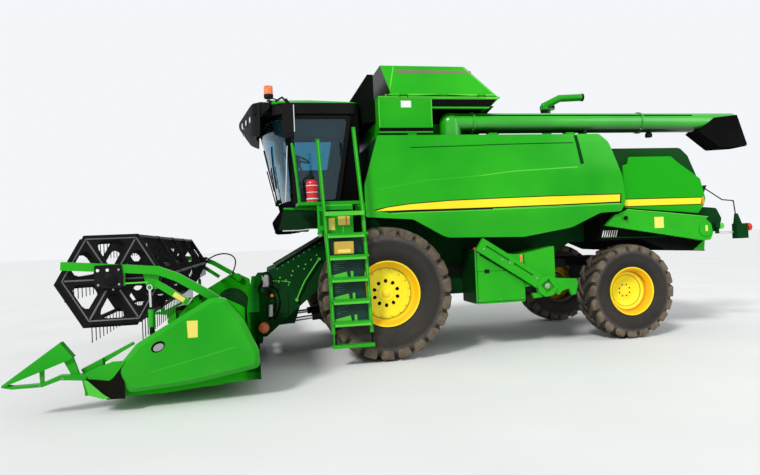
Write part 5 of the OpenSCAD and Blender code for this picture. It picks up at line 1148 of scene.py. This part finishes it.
each_side(box_side)
side_patch("beam_shade", "service_boxes", [(-1.34, 1.335), (-2.10, 0.86), (-2.085, 0.845), (-1.325, 1.32)],
           "left", SHADE_BLACK, "chassis", (1, 1), slot="green_paint")
BEAM_BOLTS = ((-1.36, 1.40), (-1.73, 1.195), (-2.12, 0.965), (-1.62, 1.245))
heads("beam_heads", [at(x, 1.4203, z) for x, z in BEAM_BOLTS], "Y", 1.0, 0.015, 0.011, STEEL, "chassis")
turned("beam_pin_washer", [(0.036, 0.0), (0.036, 0.006), (0.020, 0.012), (0.001, 0.013)], at(-2.27, 1.42, 0.85),
       "Y", STEEL, "chassis", 24)

# ---------------------------------------------------------------- header and reel

def header_side(side, sign):
    body, arms = "header", "arms"
    side_patch("shield_label", "end_shields", [(2.262, 0.693), (2.355, 0.692), (2.361, 0.861), (2.256, 0.859)],
               side, BLANK_YELLOW, body, thick=0.0006, lift=0.0002)
    # a light line along the shield's crease: painted highlight
    side_patch("shield_highlight_line", "end_shields", [(2.737, 0.374), (1.899, 0.564), (1.899, 0.574), (2.737, 0.380)],
               side, CREASE_HIGHLIGHT, body, (6, 1), 0.001)
    low, high = side_range(sign, SHIELD_Y - 0.002, SHIELD_Y + 0.0006)
    oval = [(2.640 + 0.066 * cos(a), 0.626 + 0.052 * sin(a) - 0.018 * cos(a))
            for a in [2 * pi * i / 28 for i in range(28)]]
    # a black oval round the lens: painted shade in its recess
    plate(f"shield_recess_{side}", oval, low, high, SHADE_BLACK, body)
    inner = [(2.636 + 0.050 * cos(a), 0.620 + 0.036 * sin(a) - 0.013 * cos(a))
             for a in [2 * pi * i / 24 for i in range(24)]]
    lens = side_range(sign, SHIELD_Y - 0.001, SHIELD_Y + 0.0012)
    plate(f"shield_lens_{side}", inner, *lens, LENS_GREY, body, 0.0008)
    shade = side_range(sign, DIVIDER_Y + 0.0001, DIVIDER_Y + 0.0009)
    plate(f"divider_shade_{side}",
          [(3.310, 0.355), (3.29, 0.420), (3.10, 0.500), (2.96, 0.500), (2.96, 0.145), (3.13, 0.150)], *shade,
          MATT_BLACK, body)
    raised = side_range(sign, DIVIDER_Y + 0.0011, DIVIDER_Y + 0.0055)
    plate(f"divider_tongue_{side}",
          [(3.300, 0.350), (3.160, 0.205), (3.100, 0.160), (3.170, 0.160), (3.290, 0.205), (3.332, 0.350)],
          *raised, PALE_GREEN, body, 0.001)
    plate(f"divider_wing_{side}", [(3.312, 0.424), (3.20, 0.470), (3.058, 0.515), (2.938, 0.512),
                                   (3.064, 0.358), (3.10, 0.332), (3.29, 0.364)], *raised, GREEN, body, 0.001)
    side_heads("divider_heads", side, 2.9100, ((3.52, 0.385), (3.72, 0.335)), 0.010, 0.007, STEEL, body)
    # bearing block over the arm
    block = side_range(sign, 2.7502, ARM_CAP_Y)
    plate(f"reel_bearing_{side}", [(2.975, 1.215), (3.235, 1.215), (3.245, 1.34), (3.235, 1.445),
                                   (2.985, 1.448), (2.970, 1.33)], *block, BLACK_PLASTIC, arms, 0.004)
    turned(f"reel_bearing_cap_{side}",
           [(0.062, 0.0), (0.062, sign * 0.010), (0.045, sign * 0.018), (0.001, sign * 0.019)],
           at(REEL_AXIS[0], sign * ARM_CAP_Y, REEL_AXIS[1]), "Y", BLACK, arms, 28)
    side_heads("reel_bearing_heads", side, ARM_CAP_Y, ((3.205, 1.395), (3.115, 1.395)), 0.017, 0.006,
               BLANK_WHITE, arms, 8)
    side_heads("reel_bearing_low_heads", side, ARM_CAP_Y, ((3.205, 1.250), (3.01, 1.250), (3.01, 1.395)), 0.013,
               0.006, STEEL, arms)
    slab(f"arm_link_{side}", (2.74, 2.975), side_range(sign, 2.735, 2.7495), (1.246, 1.262), PALE_GREEN, arms,
         0.003)
    side_patch("arm_label", "reel_arms",
               [(2.4141, 1.0296), (2.5141, 1.1022), (2.4859, 1.1410), (2.3859, 1.0684)], side, BLANK_YELLOW,
               arms)
    # folded ribs on the spokes of the end spiders, pale with painted glint, and their bolts
    def on_spider(reach, c, s):
        return at(REEL_AXIS[0] + reach * c, sign * 2.663, REEL_AXIS[1] + reach * s)

    for i in range(6):
        c, s = cos(i * pi / 3), sin(i * pi / 3)
        rod(f"spoke_rib_{i}_{side}", [on_spider(0.13, c, s), on_spider(0.455, c, s)], 0.010, RIB, "reel")
        e, t = cos((i + 1) * pi / 3), sin((i + 1) * pi / 3)
        rod(f"rim_rib_{i}_{side}", [on_spider(0.475, c, s), on_spider(0.475, e, t)], 0.008, RIB, "reel")
    heads(f"spider_heads_{side}",
          [at(REEL_AXIS[0] + 0.105 * cos(a), sign * 2.660, REEL_AXIS[1] + 0.105 * sin(a))
           for a in [pi / 6 + i * pi / 3 for i in range(6)]], "Y", sign, 0.012, 0.010, STEEL, "reel")
    # reel cylinder: green lower sleeve
    sleeve(f"reel_barrel_sleeve_{side}", at(2.7250, sign * 2.72, 0.89), 0.0295, 0.18, 0.006, GREEN,
           "reel_barrel_pair")


each_side(header_side)

# the reel motor's hose, from the right arm's end round to its root
HOSE_LINE = [(2.567, -2.668, 1.352), (2.500, -2.655, 1.392), (2.419, -2.645, 1.429), (2.345, -2.640, 1.449),
             (2.272, -2.640, 1.458), (2.195, -2.640, 1.450), (2.126, -2.640, 1.425), (2.080, -2.640, 1.388),
             (2.056, -2.642, 1.346), (2.048, -2.645, 1.300), (2.054, -2.650, 1.250), (2.066, -2.658, 1.200),
             (2.088, -2.666, 1.140), (2.110, -2.674, 1.095), (2.130, -2.682, 1.065)]
hose_points = [Vector(at(*point)) for point in HOSE_LINE]
let_go()
line = bpy.data.curves.new("reel_hose", "CURVE")
line.dimensions, line.bevel_depth, line.bevel_resolution, line.use_fill_caps = "3D", REEL_HOSE / 2, 4, True
path = line.splines.new("POLY")
path.points.add(len(hose_points) - 1)
for knot, point in zip(path.points, hose_points):
    knot.co = (*point, 1.0)
reel_hose = bpy.data.objects.new("reel_hose", line)
bpy.context.collection.objects.link(reel_hose)
line.materials.append(SPOUT_RUBBER)
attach(reel_hose, "arms")
turned("reel_motor", [(0.055, 0.0), (0.055, 0.05), (0.042, 0.06), (0.001, 0.061)], at(2.60, -2.742, 1.352), "Y",
       BLACK, "arms", 28)
for name, spot in (("reel_hose_end", HOSE_LINE[0]), ("reel_hose_root", HOSE_LINE[-1])):
    slab(name, (spot[0] - 0.018, spot[0] + 0.018), (spot[1] - 0.020, spot[1] + 0.016),
         (spot[2] - 0.018, spot[2] + 0.018), STEEL, "arms", 0.005)

# hose loops on the back of the header's frame
for k, y in enumerate((0.90, 1.25, 1.60)):
    rod(f"frame_line_{k}", [at(1.665, y, 0.99), at(1.60, y - 0.08, 1.09), at(1.60, y - 0.24, 1.11),
                            at(1.665, y - 0.31, 0.99)], 0.010, SPOUT_RUBBER, "header")

# ---------------------------------------------------------------- feeder house

def feeder_side(side, sign):
    body = "header"
    for k, (p, q) in enumerate((((1.475, 1.082), (1.352, 1.075)), ((1.330, 1.073), (1.215, 1.054)),
                                ((1.215, 1.054), (1.245, 1.0)))):
        rod(f"feeder_bead_{k}_{side}", [at(p[0], sign * 0.673, p[1]), at(q[0], sign * 0.673, q[1])], 0.006,
            PALE_GREEN, body)
    rod(f"feeder_lever_{side}", [at(0.80, sign * 0.700, 1.355), at(1.011, sign * 0.702, 1.059),
                                 at(1.075, sign * 0.700, 0.93), at(1.132, sign * 0.690, 0.803)], 0.011,
        PALE_GREEN, body)
    for k, (x, z) in enumerate(((0.80, 1.355), (1.132, 0.803))):
        turned(f"feeder_lever_boss_{k}_{side}", [(0.022, 0.0), (0.022, sign * 0.045), (0.001, sign * 0.046)],
               at(x, sign * (FEEDER_Y + 0.0002), z), "Y", PALE_GREEN, body, 20)
    rod(f"feeder_seal_{side}", [at(0.64, sign * 0.664, 1.690), at(1.40, sign * 0.664, 1.274)], 0.016,
        SPOUT_RUBBER, body)
    rod(f"feeder_edge_{side}", [at(0.46, sign * 0.668, 1.30), at(1.08, sign * 0.668, 0.745),
                                at(1.56, sign * 0.668, 0.345)], 0.006, DEEP_GREEN, body, slot="green_paint")
    heads(f"feeder_heads_{side}", [at(0.78 + 0.075 * i, sign * FEEDER_Y, 1.575 - 0.041 * i) for i in range(9)],
          "Y", sign, 0.009, 0.005, PALE_GREEN, body)
    heads(f"feeder_grit_{side}",
          [at(0.83 + 0.06 * i + 0.02 * (i * 7 % 3), sign * FEEDER_Y, 1.41 - 0.036 * i - 0.025 * (i * 5 % 4))
           for i in range(10)], "Y", sign, 0.012, 0.004, PALE_GREEN, body, 8)
    slab(f"feeder_plate_{side}", (1.25, 1.42), side_range(sign, FEEDER_Y + 0.0002, FEEDER_Y + 0.010),
         (0.62, 0.92), DEEP_GREEN, body, 0.006)


each_side(feeder_side)
for k in range(24):
    low, high = (1.40 - 0.0325 * k, 1.274 + 0.0178 * k), (1.375 - 0.0325 * k, 1.290 + 0.0178 * k)
    slab(f"feeder_lip_{k}", (high[0], low[0]), (0.640, 0.6695), (low[1] - 0.004, low[1] + 0.026), SPOUT_RUBBER,
         "header", 0.004)
# hoses with their couplings on the feeder's left face
for k, points in enumerate((((1.52, 1.02), (1.42, 0.98), (1.375, 0.86), (1.38, 0.70), (1.45, 0.55)),
                            ((1.54, 0.95), (1.46, 0.90), (1.43, 0.78), (1.455, 0.66), (1.51, 0.55)))):
    bent_tube(f"feeder_hose_{k}", [at(x, 0.684 + 0.004 * k, z) for x, z in points], 0.011, SPOUT_RUBBER,
              "header")
slab("multicoupler", (1.50, 1.60), (FEEDER_Y + 0.0002, 0.760), (1.00, 1.17), STEEL, "header", 0.018)
slab("multicoupler_low", (1.52, 1.58), (FEEDER_Y + 0.0002, 0.745), (0.90, 0.99), BLACK_PLASTIC, "header", 0.012)
bent_tube("multicoupler_grip", [at(1.515, 0.752, 1.02), at(1.485, 0.765, 1.02), at(1.47, 0.772, 1.12),
                                at(1.50, 0.775, 1.19), at(1.57, 0.772, 1.20), at(1.58, 0.750, 1.15)], 0.012,
          BLACK, "header")
turned("feeder_lamp", [(0.026, 0.0), (0.028, 0.020), (0.018, 0.034), (0.001, 0.036)],
       at(1.47, FEEDER_Y + 0.0002, 0.88), "Y", ORANGE, "header", 24)
rod("feeder_cylinder", [at(1.50, 0.715, 0.60), at(1.49, 0.715, 0.76)], 0.030, BLANK_WHITE, "header")
slab("feeder_cylinder_clip", (1.47, 1.52), (FEEDER_Y + 0.0002, 0.70), (0.65, 0.70), DEEP_GREEN, "header", 0.004)
turned("drive_shaft_cover", [(0.075, 0.0), (0.075, 0.175), (0.060, 0.195), (0.040, 0.20), (0.001, 0.201)],
       at(1.60, 0.715, 0.47), "Y", ORANGE, "header", 28)

# ---------------------------------------------------------------- ladder: straps, stringers, risers and brackets

for k, (x0, x1) in enumerate(((0.243, 0.261), (0.713, 0.731))):
    slab(f"ladder_strap_{k}", (x0, x1), (1.582, 1.618), (0.291, 0.424), SPOUT_RUBBER, "ladder", 0.002)
# pale lines down the stringers: painted highlight
for k, (low, high) in enumerate((((0.745, 0.44), (0.755, 1.02)), ((0.758, 1.06), (0.845, 2.86)),
                                 ((0.262, 0.44), (0.308, 1.92)), ((0.312, 1.96), (0.388, 3.00)))):
    rod(f"stringer_highlight_{k}", [at(low[0], 1.6215, low[1]), at(high[0], 1.6215, high[1])], 0.0065, PALE_GREEN,
        "ladder")

for i in range(6):
    z = FIRST_STEP + STEP_PITCH * i
    front, rear = 0.735 + 0.013 * i, 0.285 + 0.014 * i
    if i < 4:
        plate(f"step_riser_{i}", [(rear, z + 0.018), (front, z + 0.018), (front + 0.01, z + 0.248),
                                  (rear + 0.01, z + 0.248)], 1.5725, 1.5785, BACK_PLATE, "ladder", 0.0015)
    if i < 3:
        plate(f"step_bracket_{i}",
              [(front - 0.01, z + 0.018), (front - 0.01, z + 0.052), (front - 0.215, z + 0.094),
               (front - 0.23, z + 0.018)], 1.5787, 1.586, PALE_GREEN, "ladder", 0.001)
        slab(f"step_catch_{i}", (front - 0.30, front - 0.265), (1.5787, 1.590), (z + 0.018, z + 0.10),
             PALE_GREEN, "ladder", 0.003)
    if i < 4:
        for k, (start, length, up) in enumerate(((0.06, 0.15, 0.228), (0.07, 0.11, 0.205), (0.05, 0.09, 0.178),
                                                 (0.08, 0.10, 0.15), (0.05, 0.05, 0.125))):
            rod(f"riser_line_{i}_{k}",
                [(station(front - start), 1.5795, z + up), (station(front - start - length), 1.5795, z + up)],
                0.0028, RISER_LIGHT, "ladder")

# ---------------------------------------------------------------- hood, chopper cover and tail

def rear_side(side, sign):
    body = "chassis"
    side_patch("hood_reflector", "rear_hood", band(-4.915, -4.885, 1.915, 2.025), side, ORANGE, body,
               thick=0.005)
    side_patch("cover_label", "chopper_covers", band(-4.18, -4.03, 1.59, 1.75), side, BLANK_YELLOW, body,
               thick=0.0006, lift=0.0002)
    side_patch("cover_boss_label", "chopper_covers", band(-4.900, -4.862, 1.515, 1.60), side, BLANK_YELLOW,
               body, thick=0.0012)
    flange = side_range(sign, 1.3385, 1.3495)
    plate(f"cover_flange_{side}", [(-3.385, 1.775), (-3.470, 1.822), (-3.594, 1.873), (-4.25, 1.805),
                                   (-4.924, 1.725), (-4.888, 1.690), (-3.429, 1.760)], *flange, GREEN, body,
          0.002)
    rod(f"cover_flange_edge_{side}",
        [at(-3.594, sign * 1.349, 1.873), at(-4.25, sign * 1.349, 1.806), at(-4.924, sign * 1.349, 1.726)],
        0.006, PALE_GREEN, body)
    plate(f"chopper_end_{side}", [(-4.55, 1.24), (-4.955, 1.232), (-4.975, 1.395), (-4.93, 1.46),
                                  (-4.60, 1.42)], *side_range(sign, 1.1935, 1.1993), MATT_BLACK, body, 0.001)
    plate(f"chopper_foot_{side}", [(-4.766, 1.237), (-4.975, 1.395), (-4.955, 1.232)],
          *side_range(sign, 1.1995, 1.206), GREEN, body, 0.001)
    turned(f"cover_knob_{side}", [(0.030, 0.0), (0.030, sign * 0.018), (0.020, sign * 0.030),
                                  (0.001, sign * 0.031)], at(-3.55, sign * 1.3722, 1.752), "Y", BLACK_PLASTIC,
           body, 24)
    turned(f"tail_disc_{side}", [(0.050, 0.0), (0.050, sign * 0.006), (0.036, sign * 0.012),
                                 (0.001, sign * 0.013)], at(-5.515, sign * 0.9202, 1.585), "Y", PALE_GREEN,
           body, 28)
    turned(f"tail_lens_{side}", [(0.0605, 0.0), (0.0625, 0.020), (0.0625, 0.055), (0.0605, 0.060),
                                 (0.0605, 0.0605)], at(-6.0095, sign * 0.940, 1.550), "X", RED_LENS, body, 32)
    rod(f"tail_bar_{side}", [at(-5.50, sign * 0.892, 1.4775), at(-5.745, sign * 0.892, 1.4775)], 0.009,
        BLANK_WHITE, body)
    for k in range(7):
        rod(f"chopper_rib_{k}_{side}",
            [at(-3.27 - 0.036 * k, sign * 1.206, 1.485), at(-3.30 - 0.036 * k, sign * 1.206, 1.585)], 0.007,
            BLANK_WHITE, body)
    rod(f"chopper_rail_{side}", [at(-3.26, sign * 1.212, 1.48), at(-4.30, sign * 1.212, 1.46)], 0.010,
        DEEP_GREEN, body)
    side_heads("cover_heads", side, SIDE_Y,
               ((-3.46, 1.70), (-3.95, 1.67), (-4.40, 1.64), (-4.60, 1.50), (-4.20, 1.56), (-3.75, 1.62)),
               0.010, 0.005, GREEN, body)
    turned(f"hood_dot_{side}", [(0.020, 0.0), (0.018, 0.012), (0.001, 0.016)], at(-3.79, sign * 1.15, 2.7695),
           "Z", RED_LENS, body, 20)


each_side(rear_side)

# ---------------------------------------------------------------- side panels: painted shade in the pressed hollow, seams, and painted highlight along the ridge

def panel_side(side, sign):
    body = f"panel_{side}"
    # a dark wedge in the pressed hollow near the panel's rear: painted shade
    side_patch("panel_hollow_shade", f"{side}_side_panel",
               [(-2.850, 2.950), (-2.800, 2.950), (-2.862, 2.530), (-2.915, 2.545)], side, DEEP_GREEN, body,
               (2, 30), 0.0012, 0.0012, slot="green_paint")
    seam = [(-0.406, 2.792), (-1.116, 2.807), (-1.663, 2.822), (-2.418, 2.833), (-2.783, 2.835)]
    light = [(0.083, 2.24), (-0.565, 2.344), (-1.369, 2.394), (-1.835, 2.444), (-2.477, 2.472), (-2.812, 2.485)]
    for k, (a, b) in enumerate(zip(seam, seam[1:])):
        side_patch(f"panel_seam_{k}", f"{side}_side_panel", [a, b, (b[0], b[1] + 0.011), (a[0], a[1] + 0.011)],
                   side, DEEP_GREEN, body, (8, 1), 0.0008, 0.0006, slot="green_paint")
    # light lines along the pressed ridge: painted highlight
    for k, (a, b) in enumerate(zip(light, light[1:])):
        wide = 0.007 + 0.0025 * k
        side_patch(f"panel_ridge_{k}", f"{side}_side_panel",
                   [a, b, (b[0], b[1] + wide + 0.001), (a[0], a[1] + wide)], side,
                   CREASE_HIGHLIGHT if k < 2 else PALE_GREEN, body, (8, 1), 0.0008, 0.0006, slot="green_paint")
    side_patch("panel_low_light", f"{side}_side_panel",
               [(-3.44, 1.960), (-1.52, 1.938), (-1.52, 1.948), (-3.44, 1.970)], side, PALE_GREEN, body, (4, 1),
               0.0008)


each_side(panel_side)

# ---------------------------------------------------------------- deck, exhaust and unloading tube

for name, low, high, radius in (("exhaust_sleeve_low", 3.20, 3.34, 0.060),
                                ("exhaust_sleeve_high", 3.44, 3.50, 0.060)):
    turned(name, [(radius - 0.004, 0.0), (radius, 0.004), (radius, high - low - 0.004),
                  (radius - 0.004, high - low)], at(-2.82, EXHAUST_Y, low), "Z", BLACK, "chassis", 32)
turned("exhaust_lip", [(0.056, 0.0), (0.060, -0.006), (0.060, -0.030), (0.045, -0.032), (0.001, -0.0322)],
       at(-3.4485, EXHAUST_Y, 3.698), "X", BLACK, "chassis", 32)
turned("cleaner_bowl", [(0.116, 0.0), (0.118, 0.02), (0.118, 0.04), (0.116, 0.05)], at(-3.04, 0.15, 3.58), "Z",
       BLACK_PLASTIC, "chassis", 40)
turned("tube_lamp", [(0.030, 0.0), (0.048, -0.018), (0.052, -0.060), (0.046, -0.075), (0.001, -0.078)],
       at(-4.14, 1.15, 3.0205), "Z", BLACK_PLASTIC, "auger", 32)
turned("tube_lamp_stem", [(0.012, 0.0), (0.012, 0.035), (0.001, 0.0355)], at(-4.14, 1.15, 3.000), "Z", BLACK,
       "auger", 16)
for k, x in enumerate((-1.35, -3.95)):
    heads(f"tube_flange_heads_{k}",
          [at(x + 0.014, TUBE_AXIS[0] + 0.150 * cos(pi * i / 8), TUBE_AXIS[1] + 0.150 * sin(pi * i / 8))
           for i in range(16)], "X", 1.0, 0.007, 0.006, STEEL, "auger")
rod("tube_hose", [at(-1.00, 1.262, 3.252), at(-1.6, 1.262, 3.252), at(-2.6, 1.262, 3.252),
                  at(-3.8, 1.262, 3.252), at(-4.8, 1.262, 3.252)], 0.008, SPOUT_RUBBER, "auger")

# ---------------------------------------------------------------- floor, light and camera

let_go()
bpy.ops.mesh.primitive_plane_add(size=400.0, location=(0, 0, 0))
floor = bpy.context.object
floor.name = "floor"
ground = bpy.data.materials.new("pale_floor")
ground.use_nodes = True
tree = ground.node_tree
shader = tree.nodes["Principled BSDF"]
mottle = noise(tree, tree.nodes.new("ShaderNodeTexCoord").outputs["Object"], 0.6, 2.0)
tree.links.new(mix_colour(tree, span(tree, mottle, 0.3, 0.7), (0.78, 0.78, 0.77), (0.82, 0.82, 0.81)),
               shader.inputs["Base Color"])
shader.inputs["Roughness"].default_value = 0.9
floor.data.materials.append(ground)

world = bpy.data.worlds.new("studio")
bpy.context.scene.world = world
world.use_nodes = True
sky = world.node_tree
background = sky.nodes["Background"]
rays = sky.nodes.new("ShaderNodeLightPath")
seen = math_node(sky, "MAXIMUM", rays.outputs["Is Camera Ray"], rays.outputs["Is Transmission Ray"])
seen = math_node(sky, "MAXIMUM", seen, math_node(sky, "MULTIPLY", rays.outputs["Is Glossy Ray"], 0.6))
sky.links.new(span(sky, seen, 0.0, 1.0, 0.62, 0.95), background.inputs["Strength"])
background.inputs["Color"].default_value = (0.95, 0.97, 1.0, 1.0)


def lamp(name, kind, energy, place, target, size=1.0):
    data = bpy.data.lights.new(name, kind)
    data.energy = energy
    if kind == "SUN":
        data.angle = radians(size)
    else:
        data.shape, data.size = "DISK", size
    light = bpy.data.objects.new(name, data)
    bpy.context.scene.collection.objects.link(light)
    light.location = place
    light.rotation_euler = (Vector(target) - Vector(place)).to_track_quat("-Z", "Y").to_euler()
    return light


lamp("key", "SUN", 2.3, (8.0, 9.0, 11.0), (0, 0, 1.5), 12.0)
lamp("fill", "AREA", 240.0, (-9.0, 8.0, 7.0), (-1.5, 0, 1.8), 6.0)

bpy.ops.object.camera_add()
camera = bpy.context.object
camera.name = "photo_view"
PIXELS_WIDE, FOCAL_PIXELS = 760, 611.0
camera.data.sensor_width = 36.0
camera.data.sensor_fit = "HORIZONTAL"
camera.data.lens = FOCAL_PIXELS / PIXELS_WIDE * camera.data.sensor_width
camera.data.clip_end = 500.0
yaw, pitch, roll = radians(11.519), radians(0.327), radians(-2.4185)
right, upward, ahead = Vector((-1, 0, 0)), Vector((0, 0, 1)), Vector((0, -1, 0))
right, ahead = right * cos(yaw) - ahead * sin(yaw), ahead * cos(yaw) + right * sin(yaw)
upward, ahead = upward * cos(pitch) - ahead * sin(pitch), ahead * cos(pitch) + upward * sin(pitch)
right, upward = right * cos(roll) + upward * sin(roll), upward * cos(roll) - right * sin(roll)
turn = Matrix((right, upward, -ahead)).transposed()
camera.matrix_world = Matrix.Translation((station(1.662), 9.258, 1.571)) @ turn.to_4x4()
bpy.context.scene.camera = camera
bpy.context.scene.view_settings.view_transform = "Standard"
